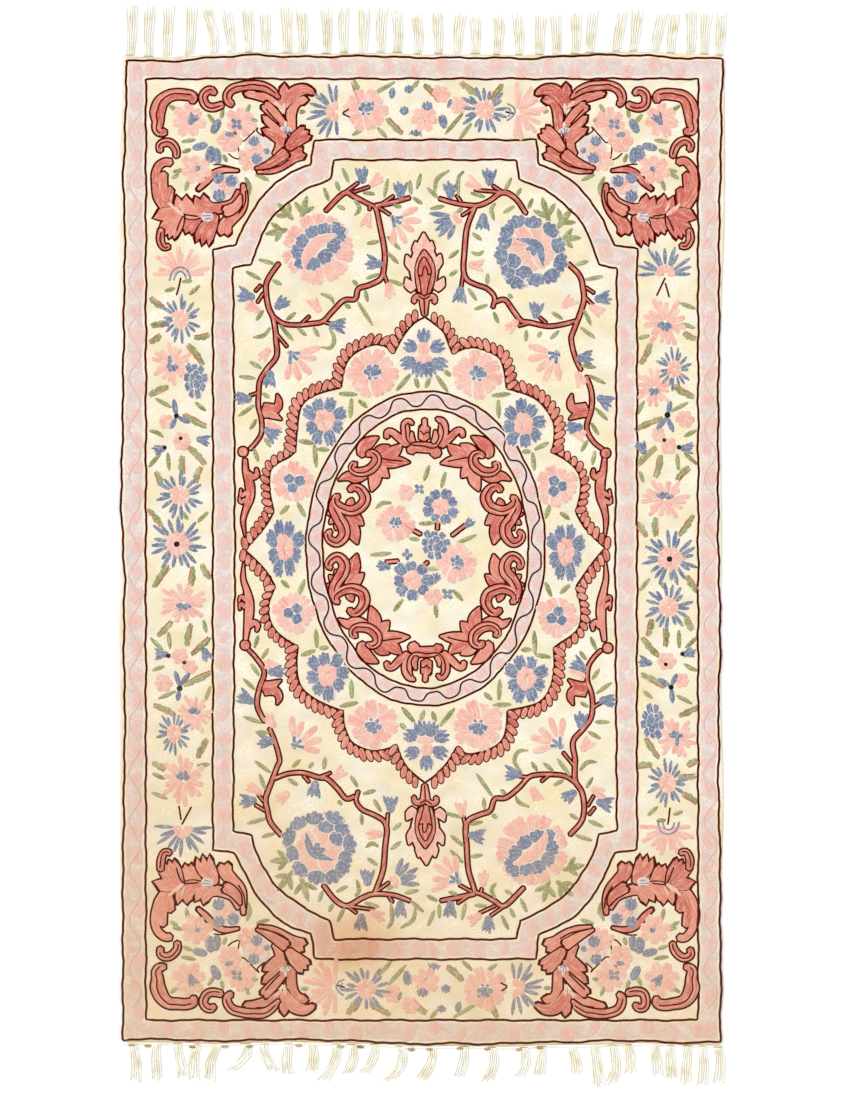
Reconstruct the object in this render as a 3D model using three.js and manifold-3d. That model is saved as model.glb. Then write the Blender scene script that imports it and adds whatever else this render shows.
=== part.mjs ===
// A floral chain-stitch rug lying flat, with a tasselled cotton fringe on each short end.
// Millimetres, +Z up, +Y towards the end with the straight tassels. The origin is under the middle of the
// whole rug, on the floor that it lies on.
import * as THREE from 'three';
import { mergeVertices } from 'three/addons/utils/BufferGeometryUtils.js';
import Module from 'manifold-3d';

// The embroidered cloth: backing and wool stitches together, with a turned and slightly rounded edge.
const CLOTH = { width: 922, length: 1514, thickness: 3.2, edgeRound: 0.6, cornerRadius: 9 };
const EDGE_STEPS = 3; // outline steps between two stations of an edge table

// How far each edge is drawn in from the widest line, at even stations. The long edges run from the +Y end
// to the -Y end, and the short ones from -X to +X.
const DRAWN_IN = {
  left: [6, 1.5, 0, 0.5, 3, 2.5, 1.5, 0, 1.5, 1.5, 1.5, 4, 4.5],
  right: [1.5, 0, 0.5, 5, 6.5, 5.5, 4.5, 6, 5, 2, 5, 6.5, 4.5],
  top: [6.5, 8.5, 4.5, 0.5, 2.5, 3, 1.5, 4, 4, 4.5, 5.5, 1.5, 0, 2, 5.5],
  bottom: [6.5, 6.5, 4.5, 6, 7, 5.5, 4, 0.5, 1.5, 0, 3, 3, 5.5, 4, 1.5],
};

// The fringe: a woven heading next to the cloth's end, and flat-lying locks of cotton yarn rooted in it.
const GAP = 0.3; // between the heading and the cloth
const HEADING = { width: 4, thickness: 2, endInset: 3 };
const LOCK = { perTassel: 4, rootPitch: 3.5, tipPitch: 4, thickness: 2.4, rootDepth: 2.5 };
const LOCK_STATIONS = [
  { along: 0, halfWidth: 1.35 },
  { along: 0.25, halfWidth: 1.45 },
  { along: 0.5, halfWidth: 1.45 },
  { along: 0.75, halfWidth: 1.3 },
  { along: 1, halfWidth: 0.8 },
];
const LOCK_UNEVEN = { length: 0.05, height: 0.12, beat: 2.4 }; // shares by which neighbouring locks differ

// One row for each tassel: where it leaves the cloth, how far its tip leans, how far its middle swings out,
// and how long it is. Leans and swings are towards +X.
const TASSEL_COLUMNS = ['at', 'lean', 'swing', 'length'];
const TOP_TASSELS = [
  [-445, 3, 1, 77], [-417, 2, -1, 76], [-389, 3, 0, 76], [-355, 4, 1, 76], [-317, -15, 2, 75],
  [-290, -10, -1, 66], [-264, -4, 1, 64], [-238, -4, 0, 64], [-205, -3, -1, 69], [-182, -4, 1, 68],
  [-146, -2, 1, 72], [-119, 0, -2, 68], [-90, 1, 0, 68], [-63, 2, -1, 66], [-38, -2, 1, 65],
  [-7, -4, 2, 62], [25, -1, -1, 64], [54, 5, -1, 61], [81, -3, 1, 60], [114, 1, 2, 60],
  [148, -4, 0, 62], [179, 2, -1, 60], [205, -3, 0, 61], [233, 1, 1, 63], [256, 5, -1, 62],
  [296, 11, 0, 63], [322, 6, 1, 62], [354, 12, 1, 59], [379, 6, -1, 59], [409, 0, 1, 66],
  [430, 4, -1, 65], [452, 3, 1, 64],
];
const BOTTOM_TASSELS = [
  [-440, 3, 2, 58], [-405, 2, -2, 56], [-373, 11, 0, 52], [-343, -3, -5, 54], [-311, -12, -8, 54],
  [-270, -24, 8, 38], [-241, 20, -4, 42], [-204, 0, -3, 46], [-168, -2, 3, 42], [-131, -22, 4, 54],
  [-108, -12, 6, 46], [-73, -18, 3, 42], [-35, -20, 10, 52], [14, -18, 4, 48], [63, -9, 2, 46],
  [106, -8, 5, 50], [155, -10, 5, 46], [182, -4, 0, 44], [228, 8, 2, 42], [262, 9, 1, 61],
  [290, -3, 5, 59], [314, 3, 2, 44], [353, 6, 2, 48], [379, 2, -2, 52], [405, -3, -2, 60],
  [427, 0, 1, 60], [450, 0, 4, 54],
];

const MATERIALS = {
  wool: new THREE.MeshStandardMaterial({ color: '#f5e8c8', roughness: 0.95, metalness: 0 }),
  cotton: new THREE.MeshStandardMaterial({ color: '#eee2c2', roughness: 0.9, metalness: 0 }),
};

const wasm = await Module();
wasm.setup();

const rowsOf = (columns, rows) => rows.map((row) => Object.fromEntries(row.map((v, i) => [columns[i], v])));

// The stations of one short end of the cloth, from -X to +X. side is +1 for the top end, -1 for the bottom.
function endStations(side) {
  const drawnIn = side > 0 ? DRAWN_IN.top : DRAWN_IN.bottom;
  const reach = CLOTH.width / 2 - CLOTH.cornerRadius;
  return drawnIn.map((inset, i) => new THREE.Vector2(
    THREE.MathUtils.lerp(-reach, reach, i / (drawnIn.length - 1)),
    side * (CLOTH.length / 2 - inset),
  ));
}

// The stations of one long edge, from the top end to the bottom end. side is +1 for the right edge.
function longStations(side) {
  const drawnIn = side > 0 ? DRAWN_IN.right : DRAWN_IN.left;
  const reach = CLOTH.length / 2 - 2 * CLOTH.cornerRadius;
  return drawnIn.map((inset, i) => new THREE.Vector2(
    side * (CLOTH.width / 2 - inset),
    THREE.MathUtils.lerp(reach, -reach, i / (drawnIn.length - 1)),
  ));
}

// Each run starts where the last one's rounded corner ends. A corner's handle lies where both edges meet.
function clothShape() {
  const runs = [
    endStations(1),
    longStations(1),
    endStations(-1).reverse(),
    longStations(-1).reverse(),
  ];
  const shape = new THREE.Shape();
  shape.moveTo(runs[0][0].x, runs[0][0].y);
  runs.forEach((run, i) => {
    shape.splineThru(run.slice(1));
    const last = run[run.length - 1];
    const next = runs[(i + 1) % runs.length][0];
    const handle = i % 2 === 0 ? [next.x, last.y] : [last.x, next.y];
    shape.quadraticCurveTo(...handle, next.x, next.y);
  });
  return shape;
}

function clothGeometry() {
  return new THREE.ExtrudeGeometry(clothShape(), {
    depth: CLOTH.thickness - 2 * CLOTH.edgeRound,
    curveSegments: EDGE_STEPS,
    bevelEnabled: true,
    bevelThickness: CLOTH.edgeRound,
    bevelSize: CLOTH.edgeRound,
    bevelOffset: -CLOTH.edgeRound,
    bevelSegments: 1,
  }).translate(0, 0, CLOTH.edgeRound);
}

// The points of the cloth's end between its corners, the same ones that its outline has.
function endPoints(side) {
  const stations = endStations(side);
  return new THREE.SplineCurve(stations).getPoints(stations.length * EDGE_STEPS);
}

// The y of the cloth's end at any x, straight out past its corners.
function endLine(side) {
  const points = endPoints(side);
  const first = points[0];
  const last = points[points.length - 1];
  return (x) => {
    if (x <= first.x) return first.y;
    if (x >= last.x) return last.y;
    const next = points.findIndex((p) => p.x > x);
    const [a, b] = [points[next - 1], points[next]];
    return THREE.MathUtils.mapLinear(x, a.x, b.x, a.y, b.y);
  };
}

// The heading follows the cloth's end as a band of even width.
function headingGeometry(side) {
  const points = endPoints(side);
  const reach = CLOTH.width / 2 - HEADING.endInset;
  points.unshift(new THREE.Vector2(-reach, points[0].y));
  points.push(new THREE.Vector2(reach, points[points.length - 1].y));
  const shifted = (away) => points.map((p) => new THREE.Vector2(p.x, p.y + side * away));
  const outline = [...shifted(GAP), ...shifted(GAP + HEADING.width).reverse()];
  return new THREE.ExtrudeGeometry(new THREE.Shape(outline), {
    depth: HEADING.thickness,
    bevelEnabled: false,
  });
}

// A lock lies flat on the floor along a line that leans and swings out, and narrows to its tip. k numbers
// the lock within its tassel. All the locks of a tassel follow one curve, so shorter ones stay clear too.
function lockGeometry(side, line, tassel, k) {
  const off = k - (LOCK.perTassel - 1) / 2;
  const uneven = Math.sin(LOCK_UNEVEN.beat * (tassel.at + k));
  const fullLength = tassel.length + LOCK.rootDepth;
  const length = fullLength * (1 - LOCK_UNEVEN.length * (1 + uneven));
  const rootY = line(tassel.at) + side * (GAP + HEADING.width - LOCK.rootDepth);
  const centres = LOCK_STATIONS.map(({ along }) => {
    const out = length * along;
    const share = out / fullLength;
    const spread = off * THREE.MathUtils.lerp(LOCK.rootPitch, LOCK.tipPitch, share);
    const bend = tassel.lean * share ** 1.5 + tassel.swing * Math.sin(Math.PI * share);
    return new THREE.Vector2(tassel.at + spread + bend, rootY + side * out);
  });
  const edge = (sign) => centres.map(({ x, y }, i) => (
    new THREE.Vector2(x + sign * LOCK_STATIONS[i].halfWidth, y)
  ));
  return new THREE.ExtrudeGeometry(new THREE.Shape([...edge(-1), ...edge(1).reverse()]), {
    depth: LOCK.thickness * (1 + LOCK_UNEVEN.height * uneven),
    bevelEnabled: false,
  });
}

function solidOf(geometry) {
  const bare = geometry.clone();
  bare.deleteAttribute('normal');
  bare.deleteAttribute('uv');
  const merged = mergeVertices(bare, 1e-4);
  return new wasm.Manifold(new wasm.Mesh({
    numProp: 3,
    vertProperties: merged.getAttribute('position').array,
    triVerts: new Uint32Array(merged.index.array),
  }));
}

function geometryOf(solid) {
  const { vertProperties, triVerts } = solid.getMesh();
  const geometry = new THREE.BufferGeometry();
  geometry.setAttribute('position', new THREE.BufferAttribute(vertProperties, 3));
  geometry.setIndex(new THREE.BufferAttribute(triVerts, 1));
  geometry.computeVertexNormals();
  return geometry;
}

// The heading and all the locks of one end, fused at the roots.
function fringeGeometry(side, rows) {
  const line = endLine(side);
  const locks = rowsOf(TASSEL_COLUMNS, rows).flatMap((tassel) => (
    Array.from({ length: LOCK.perTassel }, (_, k) => lockGeometry(side, line, tassel, k))
  ));
  const heading = solidOf(headingGeometry(side));
  return geometryOf(locks.map(solidOf).reduce((whole, lock) => whole.add(lock), heading));
}

function named(name, geometry, material) {
  const mesh = new THREE.Mesh(geometry, material);
  mesh.name = name;
  return mesh;
}

const rug = new THREE.Group();
rug.add(named('rug_cloth', clothGeometry(), MATERIALS.wool));
rug.add(named('fringe_top', fringeGeometry(1, TOP_TASSELS), MATERIALS.cotton));
rug.add(named('fringe_bottom', fringeGeometry(-1, BOTTOM_TASSELS), MATERIALS.cotton));

// The tassels differ at the two ends, so the whole is shifted to stand centred over its origin.
const centre = new THREE.Box3().setFromObject(rug).getCenter(new THREE.Vector3());
rug.position.set(-centre.x, -centre.y, 0);

export default rug;
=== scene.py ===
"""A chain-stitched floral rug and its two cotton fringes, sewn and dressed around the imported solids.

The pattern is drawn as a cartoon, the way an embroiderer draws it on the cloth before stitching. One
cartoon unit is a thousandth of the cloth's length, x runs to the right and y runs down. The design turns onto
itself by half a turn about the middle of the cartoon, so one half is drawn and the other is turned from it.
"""

import logging
from collections.abc import Callable, Iterable, Sequence
from dataclasses import dataclass, field, replace
from enum import Enum
from functools import partial

import bpy
import numpy as np
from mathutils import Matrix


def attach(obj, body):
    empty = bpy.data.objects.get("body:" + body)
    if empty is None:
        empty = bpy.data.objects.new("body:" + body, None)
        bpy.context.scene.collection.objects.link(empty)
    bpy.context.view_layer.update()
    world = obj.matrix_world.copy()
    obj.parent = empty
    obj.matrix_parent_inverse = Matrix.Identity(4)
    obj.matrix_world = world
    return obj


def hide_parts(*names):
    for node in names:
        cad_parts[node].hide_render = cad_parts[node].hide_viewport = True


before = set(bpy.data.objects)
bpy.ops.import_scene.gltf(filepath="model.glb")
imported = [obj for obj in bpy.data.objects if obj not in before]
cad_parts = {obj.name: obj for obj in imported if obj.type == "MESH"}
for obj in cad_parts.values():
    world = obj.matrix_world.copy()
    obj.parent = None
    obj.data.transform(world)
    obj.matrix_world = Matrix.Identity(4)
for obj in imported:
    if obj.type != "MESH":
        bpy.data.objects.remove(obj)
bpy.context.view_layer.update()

logging.basicConfig(level=logging.INFO, format="%(message)s")
LOG = logging.getLogger("rug")

MM = 0.001  # metres
UNIT_MM = 1.524  # one cartoon unit
CARTOON_ORIGIN = (422.0, 549.5)  # the cartoon point over the middle of the cloth before centring
CENTRING_MM = (-0.37, -6.6)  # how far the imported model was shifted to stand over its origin
TURN_MIDDLE = (425.0, 549.5)  # the half turn is about this cartoon point
PHOTO_FRAME = (854, 1100)  # the image, in cartoon units too
PHOTO_MIDDLE = (427.0, 550.0)
ROW_PITCH_MM = 2.4  # between two rows of chain stitch

GROUND_MM = 2.7  # top of the plain ground rows above the floor
SUNK_MM = 0.15  # the rim of a sewn shape dips this far into the ground, so no edge stands open
END_CELL = 0.4  # length of the cell in which a stroke dips at each of its ends, in cartoon units
SLOW_WANDER, QUICK_WANDER = 0.55, 0.3  # how far a hand's lines wander, in cartoon units
ROUND = 0.9  # how round the blunt ends of a stroke are, up to 1

Line = Sequence[float] | np.ndarray  # x and y by turns, or points
Lines = tuple[Line, ...]
Rows = tuple[tuple[float, ...], ...]  # a table of numbers
Adder = Callable[..., bpy.types.NodeSocket]  # adds a node to one tree, as add_node does


def to_rug(cartoon: np.ndarray) -> np.ndarray:
    """Cartoon x, y and height in mm as metres in the rug's frame.

    x is the distance right of the cartoon's origin, y the distance above it, each times the unit.

    Args:
        cartoon: points as rows of x, y and height.
    """
    x = (cartoon[:, 0] - CARTOON_ORIGIN[0]) * UNIT_MM + CENTRING_MM[0]
    y = (CARTOON_ORIGIN[1] - cartoon[:, 1]) * UNIT_MM + CENTRING_MM[1]
    return np.stack([x, y, cartoon[:, 2]], axis=1) * MM


def by_hand(xy: np.ndarray) -> np.ndarray:
    """The points with the small wander of hand work, a slow and a quicker sine wave on each axis.

    Args:
        xy: points with x and y as their last axis.
    """
    x, y = xy[..., 0], xy[..., 1]
    wander_x = SLOW_WANDER * np.sin(0.131 * y + 0.047 * x + 1.3) + QUICK_WANDER * np.sin(0.41 * y - 0.23 * x)
    wander_y = SLOW_WANDER * np.sin(0.127 * x - 0.051 * y + 0.4) + QUICK_WANDER * np.sin(0.37 * x + 0.29 * y)
    return xy + np.stack([wander_x, wander_y], axis=-1)


def pairs(line: Line) -> np.ndarray:
    """A flat row of x and y by turns as points, or points as they are."""
    return np.asarray(line, dtype=float).reshape(-1, 2)


def turned(line: Line) -> np.ndarray:
    """The line turned half a turn about the middle of the cartoon."""
    return 2 * np.asarray(TURN_MIDDLE) - pairs(line)


def mirrored(line: Line) -> np.ndarray:
    """The line mirrored from left to right."""
    points = pairs(line)
    return np.stack([2 * TURN_MIDDLE[0] - points[:, 0], points[:, 1]], axis=1)


def smooth_line(points: np.ndarray, step: float) -> np.ndarray:
    """A Catmull-Rom curve through the points, sampled about every step.

    Between two points it is the cubic whose slopes at them are half the chord of their neighbours.

    Args:
        points: the points that it passes through.
        step: spacing of the samples, in cartoon units.
    """
    if len(points) < 3:
        share = np.linspace(0, 1, max(3, int(np.hypot(*(points[-1] - points[0])) / step) + 1))[:, None]
        return points[0] + (points[-1] - points[0]) * share
    padded = np.concatenate([2 * points[:1] - points[1:2], points, 2 * points[-1:] - points[-2:-1]])
    chord = np.hypot(*np.diff(points, axis=0).T)
    counts = np.maximum(2, np.ceil(chord / step)).astype(int)
    piece = np.repeat(np.arange(len(chord)), counts)
    starts = np.cumsum(counts) - counts
    t = ((np.arange(len(piece)) - starts[piece]) / counts[piece])[:, None]
    a, b, c, d = (padded[piece + k] for k in range(4))
    curve = 0.5 * (2 * b + (c - a) * t + (2 * a - 5 * b + 4 * c - d) * t**2 + (3 * b - a - 3 * c + d) * t**3)
    return np.concatenate([curve, points[-1:]])


@dataclass(frozen=True)
class Patch:
    """A sewn shape as a grid of rows along it and columns across it.

    place holds cartoon x, y and the height in mm; stitch holds mm across and along; rim runs from 0 in the
    middle to 1 at the edge.
    """

    place: np.ndarray
    stitch: np.ndarray
    rim: np.ndarray
    tint: float = -1.0  # from 0 for deep to 1 for pale, or below 0 where it is left to chance


Shape = Callable[..., Patch]  # makes a patch from a height, and from how far it is grown or its seat


def domed(rim: np.ndarray, height: float, seat: float = GROUND_MM) -> np.ndarray:
    """Heights of a low cushion of stitches: flat in the middle, dipping into what it is sewn on at the rim.

    The height falls with the eighth power of the rim value.
    """
    low = seat - SUNK_MM
    return low + (height - low) * (1 - rim**8)


def rims(across: np.ndarray) -> np.ndarray:
    """Rim values of columns: four fifths of the column's size inside, and 1 at the edge itself."""
    return np.where(np.abs(across) < 1, 0.8 * np.abs(across), 1.0)


def stroke(
    line: Line,
    halves: float | Sequence[float],
    height: float,
    *,
    grow: float = 0.0,
    seat: float = GROUND_MM,
    tint: float = -1.0,
    teeth: tuple[float, float] = (0.0, 0.0),
    across: Sequence[float] = (-1.0, -0.92, 0.0, 0.92, 1.0),
    retreat: Sequence[float] | None = None,
    step: float = 2.2,
    straight: bool = False,
) -> Patch:
    """A band of stitches along a line, with blunt round ends.

    Each point lies at a distance along the curve, moved sideways by the half-width there times its column's
    value. Both ends are pulled back towards the sides as a circle falls away from its top.

    Args:
        line: the middle line's points.
        halves: half-width, or half-widths at even stations along the line.
        height: top of the stitches in mm.
        grow: how far the shape is grown on all sides, for a dark row round it.
        seat: top of what it is sewn on in mm.
        tint: from 0 for deep to 1 for pale, or below 0.
        teeth: number of teeth along each side and their depth as a share of the half-width.
        across: the columns, from -1 at the left edge to 1 at the right.
        retreat: how far each column stops short at the far end, as a share of the half-width there.
        step: spacing of the rows.
        straight: whether the line runs straight between its points.
    """
    points = pairs(line)
    curve = by_hand(points) if straight else smooth_line(by_hand(points), min(step, 3.0))
    lengths = np.hypot(*np.diff(curve, axis=0).T)
    along = np.concatenate([[0.0], np.cumsum(lengths)])
    total = along[-1]
    profile = np.atleast_1d(np.asarray(halves, dtype=float))
    rows = max(4, int(np.ceil(total / step)) + 1, int(teeth[0] * 4) + 1) + 2
    steep = min(0.12, END_CELL / total)
    share = np.concatenate([[0.0], np.linspace(steep, 1 - steep, rows - 2), [1.0]])[:, None]
    columns = np.asarray(across)[None, :]
    width = np.interp(share, np.linspace(0, 1, len(profile)), profile)
    saw = 1 - teeth[1] * (1 - np.mod(share * teeth[0], 1.0)) ** 1.4
    width = width * np.where(np.abs(columns) > 0.5, saw, 1.0) + grow
    fall = 1 - np.sqrt(1 - ROUND * columns**2)
    last = fall if retreat is None else np.asarray(retreat)[None, :]
    start = -grow + fall * width[:1, :1]
    stop = total + grow - last * (width[-1:, :1] - (0.0 if retreat is None else grow))
    reach = start + (stop - start) * share
    x, y = (np.interp(reach, along, curve[:, axis]) for axis in (0, 1))
    slope = np.gradient(curve, along, axis=0)
    slope /= np.hypot(*slope.T)[:, None]
    tx, ty = (np.interp(reach, along, slope[:, axis]) for axis in (0, 1))
    beyond = np.where(reach < 0, reach, np.where(reach > total, reach - total, 0.0))
    x, y = x + tx * beyond - ty * width * columns, y + ty * beyond + tx * width * columns
    ends = np.abs(2 * share - 1) ** max(1.0, total / 6)
    rim = np.maximum(rims(columns), np.where(ends > 0.999, 1.0, 0.6 * ends))
    stitch = np.stack([width * columns + 0 * reach, reach + 0 * width], axis=-1) * UNIT_MM
    return Patch(np.stack([x, y, domed(rim, height, seat)], axis=-1), stitch, rim + 0 * reach, tint)


def disc(
    centre: Line, radii: tuple[float, float], height: float, *, turn: float = 0.0, grow: float = 0.0,
    seat: float = GROUND_MM, cells: int = 6
) -> Patch:
    """A round or oval of stitches, a square grid pressed onto a disc.

    Each of a point's two square coordinates is shortened by the root of one less half the other's square.

    Args:
        centre: its middle.
        radii: half its breadth and half its height before it is turned.
        height: top of the stitches in mm.
        turn: turn in degrees, clockwise on the cartoon.
        grow: how far it is grown on all sides.
        seat: top of what it is sewn on in mm.
        cells: cells of the grid on each side.
    """
    side = np.concatenate([[-1.0], np.linspace(-0.92, 0.92, cells - 1), [1.0]])
    up, right = np.meshgrid(side, side, indexing="ij")
    x = right * np.sqrt(1 - up**2 / 2) * (radii[0] + grow)
    y = -up * np.sqrt(1 - right**2 / 2) * (radii[1] + grow)
    angle = np.radians(turn)
    flat = np.stack([x * np.cos(angle) - y * np.sin(angle), x * np.sin(angle) + y * np.cos(angle)], axis=-1)
    rim = rims(np.maximum(np.abs(up), np.abs(right)))
    xy = by_hand(np.asarray(centre, dtype=float)) + flat
    place = np.concatenate([xy, domed(rim, height, seat)[..., None]], axis=-1)
    return Patch(place, np.stack([x, y], axis=-1) * UNIT_MM, rim)


def soft(patch: Patch) -> Patch:
    """The same patch in thinner stitches, which fade from its middle to its rim."""
    up, right = (np.abs(np.linspace(-1, 1, count)) for count in patch.rim.shape)
    return replace(patch, rim=0.45 + 0.55 * np.maximum(up[:, None], right[None, :]))


def band(outer: np.ndarray, inner: np.ndarray, height: float) -> Patch:
    """The strip between two matching lines, blended evenly from the outer one to the inner one.

    Args:
        outer: points of the outer line, clockwise on the cartoon.
        inner: points of the inner line, one for each of the outer one's.
        height: top of the stitches in mm.
    """
    share = np.linspace(0, 1, 5)[None, :, None]
    xy = by_hand(outer[:, None, :] * (1 - share) + inner[:, None, :] * share)
    middle = (outer + inner) / 2
    along = np.concatenate([[0.0], np.cumsum(np.hypot(*np.diff(middle, axis=0).T))])
    width = np.hypot(*(outer - inner).T)
    edge = np.abs(2 * share[..., 0] - 1) + 0 * along[:, None]
    heights = height - (height - GROUND_MM + SUNK_MM) * (edge > 0.99)
    stitch = np.stack([share[..., 0] * width[:, None], along[:, None] + 0 * share[..., 0]], axis=-1) * UNIT_MM
    return Patch(np.concatenate([xy, heights[..., None]], axis=-1), stitch, edge**6)


def beside(line: Line, away: float, step: float = 1.2) -> np.ndarray:
    """The curve through a line's points, moved along its normals: left of its way where away is positive."""
    curve = smooth_line(pairs(line), step)
    slope = np.gradient(curve, axis=0)
    slope /= np.maximum(np.hypot(*slope.T), 1e-6)[:, None]
    return curve + away * np.stack([slope[:, 1], -slope[:, 0]], axis=1)


def frond(line: Line, halves: Sequence[float], fingers: int, notch: float, height: float, *,
          grow: float = 0.0, seat: float = GROUND_MM) -> Patch:
    """A leaf that ends in pointed fingers, side by side.

    The far end is pulled back by the notch's depth times one less a triangle wave across the leaf, and by a
    third of the column's square. A grown frond's notches are pulled back less, so that the dark row keeps its
    breadth there.

    Args:
        line: its spine, from the foot to the tips.
        halves: half-widths at even stations along it.
        fingers: number of fingers.
        notch: depth of the notches, as a share of the last half-width.
        height: top of the stitches in mm.
        grow: how far it is grown on all sides, for the dark row round it.
        seat: top of what it is sewn on in mm.
    """
    across = np.sort(np.concatenate([[-0.95, 0.95], np.linspace(-1, 1, 4 * fingers + 1)]))
    tip = 1 - np.abs(2 * np.mod((across + 1) / 2 * fingers, 1.0) - 1)
    slant = np.hypot(1.0, notch * fingers)
    eased = grow / halves[-1] * (0.3 * tip + (slant - 1) * (1 - tip))
    retreat = notch * (1 - tip) + 0.33 * across**2 - eased
    return stroke(line, halves, height, across=across, retreat=retreat, grow=grow, seat=seat, step=2.0)


class Wool(Enum):
    """The wools and the yarn of the rug, each with a slot name."""

    CREAM = "wool_cream"
    MAUVE = "wool_mauve"
    MAROON = "wool_maroon"
    CORAL = "wool_coral"
    PINK = "wool_pink"
    GREEN = "wool_green"
    BLUE = "wool_blue"
    BLACK = "wool_black"
    COTTON = "fringe_cotton"


# Tops of the sewn layers in mm. Each wool has its own, so no two lie in one plane where shapes cross.
TOPS = {
    Wool.MAUVE: 2.82,
    Wool.CREAM: 3.02,
    Wool.MAROON: 2.95,
    Wool.GREEN: 3.0,
    Wool.PINK: 3.05,
    Wool.BLUE: 3.1,
    Wool.CORAL: 3.15,
    Wool.BLACK: 3.3,
}
OVERLAY_MM = 0.12  # an overlay, such as a vein or a flower's eye, tops what it lies on by this much
OUTLINE = 1.85  # breadth of the dark row round a coral shape, in cartoon units
VEIN_HALF = 0.8  # half-breadth of a dark row inside one
LEVEL_MM = 0.07  # a step between overlapping leaves
FILL_MM = 0.03  # a leaf's filling tops its dark row by this much
SCROLL_OVER = 0.3  # a scroll and its dark row top the leaves that grow from it by this much, in mm
PETAL_MM = 0.012  # a step between neighbouring petals
UNDER_MM = 0.006  # a petal's cream edge lies this far under it
LINE_OVER = 0.06  # the medallion's dark lines top their wool's own layer by this much, in mm


def linear(hex_colour: str) -> tuple[float, float, float, float]:
    """An sRGB hex colour as linear RGBA: the low part over 12.92, the rest by the 2.4 power."""
    srgb = np.array([int(hex_colour[k : k + 2], 16) for k in (1, 3, 5)]) / 255
    rgb = np.where(srgb <= 0.04045, srgb / 12.92, ((srgb + 0.055) / 1.055) ** 2.4)
    return (*rgb.tolist(), 1.0)


def feed(node: bpy.types.Node, inputs: dict[str | int, object]) -> None:
    """Gives sockets of a node, by name or number, a value each or the socket that feeds them."""
    for key, value in inputs.items():
        if isinstance(value, bpy.types.NodeSocket):
            node.id_data.links.new(value, node.inputs[key])
        else:
            node.inputs[key].default_value = value


def add_node(tree: bpy.types.NodeTree, kind: str, inputs: dict[str | int, object] | None = None,
             output: str | int = 0, **settings: object) -> bpy.types.NodeSocket:
    """Adds one shader node and returns one of its outputs.

    Args:
        tree: the node tree.
        kind: its Blender type name, without the ShaderNode in front.
        inputs: sockets by name or number, each with a value or the socket that feeds it.
        output: the output that is returned, by name or number.
        settings: properties of the node.
    """
    node = tree.nodes.new("ShaderNode" + kind)
    for name, value in settings.items():
        setattr(node, name, value)
    feed(node, inputs or {})
    return node.outputs[output]


def new_material(name: str) -> tuple[bpy.types.Material, Adder, bpy.types.Node]:
    """A new node material, with what adds a node to it, and its shader."""
    material = bpy.data.materials.new(name)
    material.use_nodes = True
    tree = material.node_tree
    return material, partial(add_node, tree), tree.nodes["Principled BSDF"]


def per_metre(size_mm: float) -> float:
    """The scale that gives a pattern that size, with coordinates in metres."""
    return 1 / (size_mm * MM)


WAVE_PERIOD = 2 * np.pi / 20  # the Wave texture's own period at scale 1
MIX_FACTOR, MIX_A, MIX_B, MIX_RESULT = 0, 6, 7, 2  # sockets of the Mix node for colours
CREAM = "#FBF0CB"  # the ground's wool


@dataclass(frozen=True)
class Ageing:
    """What years on a floor did: the lower end went tan, most at its left corner, with one tea-like stain."""

    tan: str = "#D9B477"
    stain: str = "#E0A257"
    dust: str = "#EFD2B0"  # what the dyes there faded towards
    dust_share: float = 0.55  # of the tan's strength
    tan_strength: float = 0.42
    stain_strength: float = 0.5
    tan_from_m: float = -0.1  # y at which the tan starts
    tan_full_m: float = -0.86  # y at which it is full
    leftward: float = 0.32  # how much it grows to the left for each metre that it grows downwards
    patch_mm: float = 190.0  # size of the slow noise that breaks it
    patchy_m: float = 0.5  # how far that noise shifts it
    stain_at_m: tuple[float, float, float] = (-0.105, -0.605, 0.0)
    stain_size_m: tuple[float, float, float] = (0.10, 0.07, 1.0)

    def over(self, add: Adder, coords: bpy.types.NodeSocket, colour: bpy.types.NodeSocket,
             fading: float = 1.0) -> bpy.types.NodeSocket:
        """Multiplies the colour by the tan, mixes in the dust, and multiplies by the stain.

        The tan grows down the cloth and to the left, broken by slow noise; the stain is a soft oval.

        Args:
            add: adds a node to the material.
            coords: Object coordinates.
            colour: the clean colour's socket.
            fading: how readily the dye fades towards the dust, as a multiple.
        """
        slow = add("TexNoise", {"Vector": coords, "Scale": per_metre(self.patch_mm), "Detail": 3.0})
        split = add("SeparateXYZ", {0: coords}).node.outputs
        slope = add("Math", {0: split["X"], 1: self.leftward, 2: split["Y"]}, operation="MULTIPLY_ADD")
        shifted = add("Math", {0: slow, 1: -self.patchy_m, 2: slope}, operation="MULTIPLY_ADD")
        noise_mean = self.patchy_m / 2
        tan = add("MapRange", {"Value": shifted, "From Min": self.tan_from_m - noise_mean,
                               "From Max": self.tan_full_m - noise_mean, "To Max": self.tan_strength},
                  interpolation_type="SMOOTHSTEP")
        aged = add("Mix", {MIX_FACTOR: tan, MIX_A: colour, MIX_B: linear(self.tan)}, MIX_RESULT,
                   data_type="RGBA", blend_type="MULTIPLY")
        faded = add("Math", {0: tan, 1: self.dust_share * fading}, operation="MULTIPLY")
        dusty = add("Mix", {MIX_FACTOR: faded, MIX_A: aged, MIX_B: linear(self.dust)}, MIX_RESULT,
                    data_type="RGBA")
        centred = add("Mapping", {"Vector": coords, "Location": self.stain_at_m, "Scale": self.stain_size_m},
                      vector_type="TEXTURE")
        spot = add("TexGradient", {0: centred}, "Fac", gradient_type="SPHERICAL")
        share = add("MapRange", {"Value": spot, "From Max": 0.8, "To Max": self.stain_strength},
                    interpolation_type="SMOOTHSTEP")
        return add("Mix", {MIX_FACTOR: share, MIX_A: dusty, MIX_B: linear(self.stain)}, MIX_RESULT,
                   data_type="RGBA", blend_type="MULTIPLY")


AGEING = Ageing()


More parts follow.
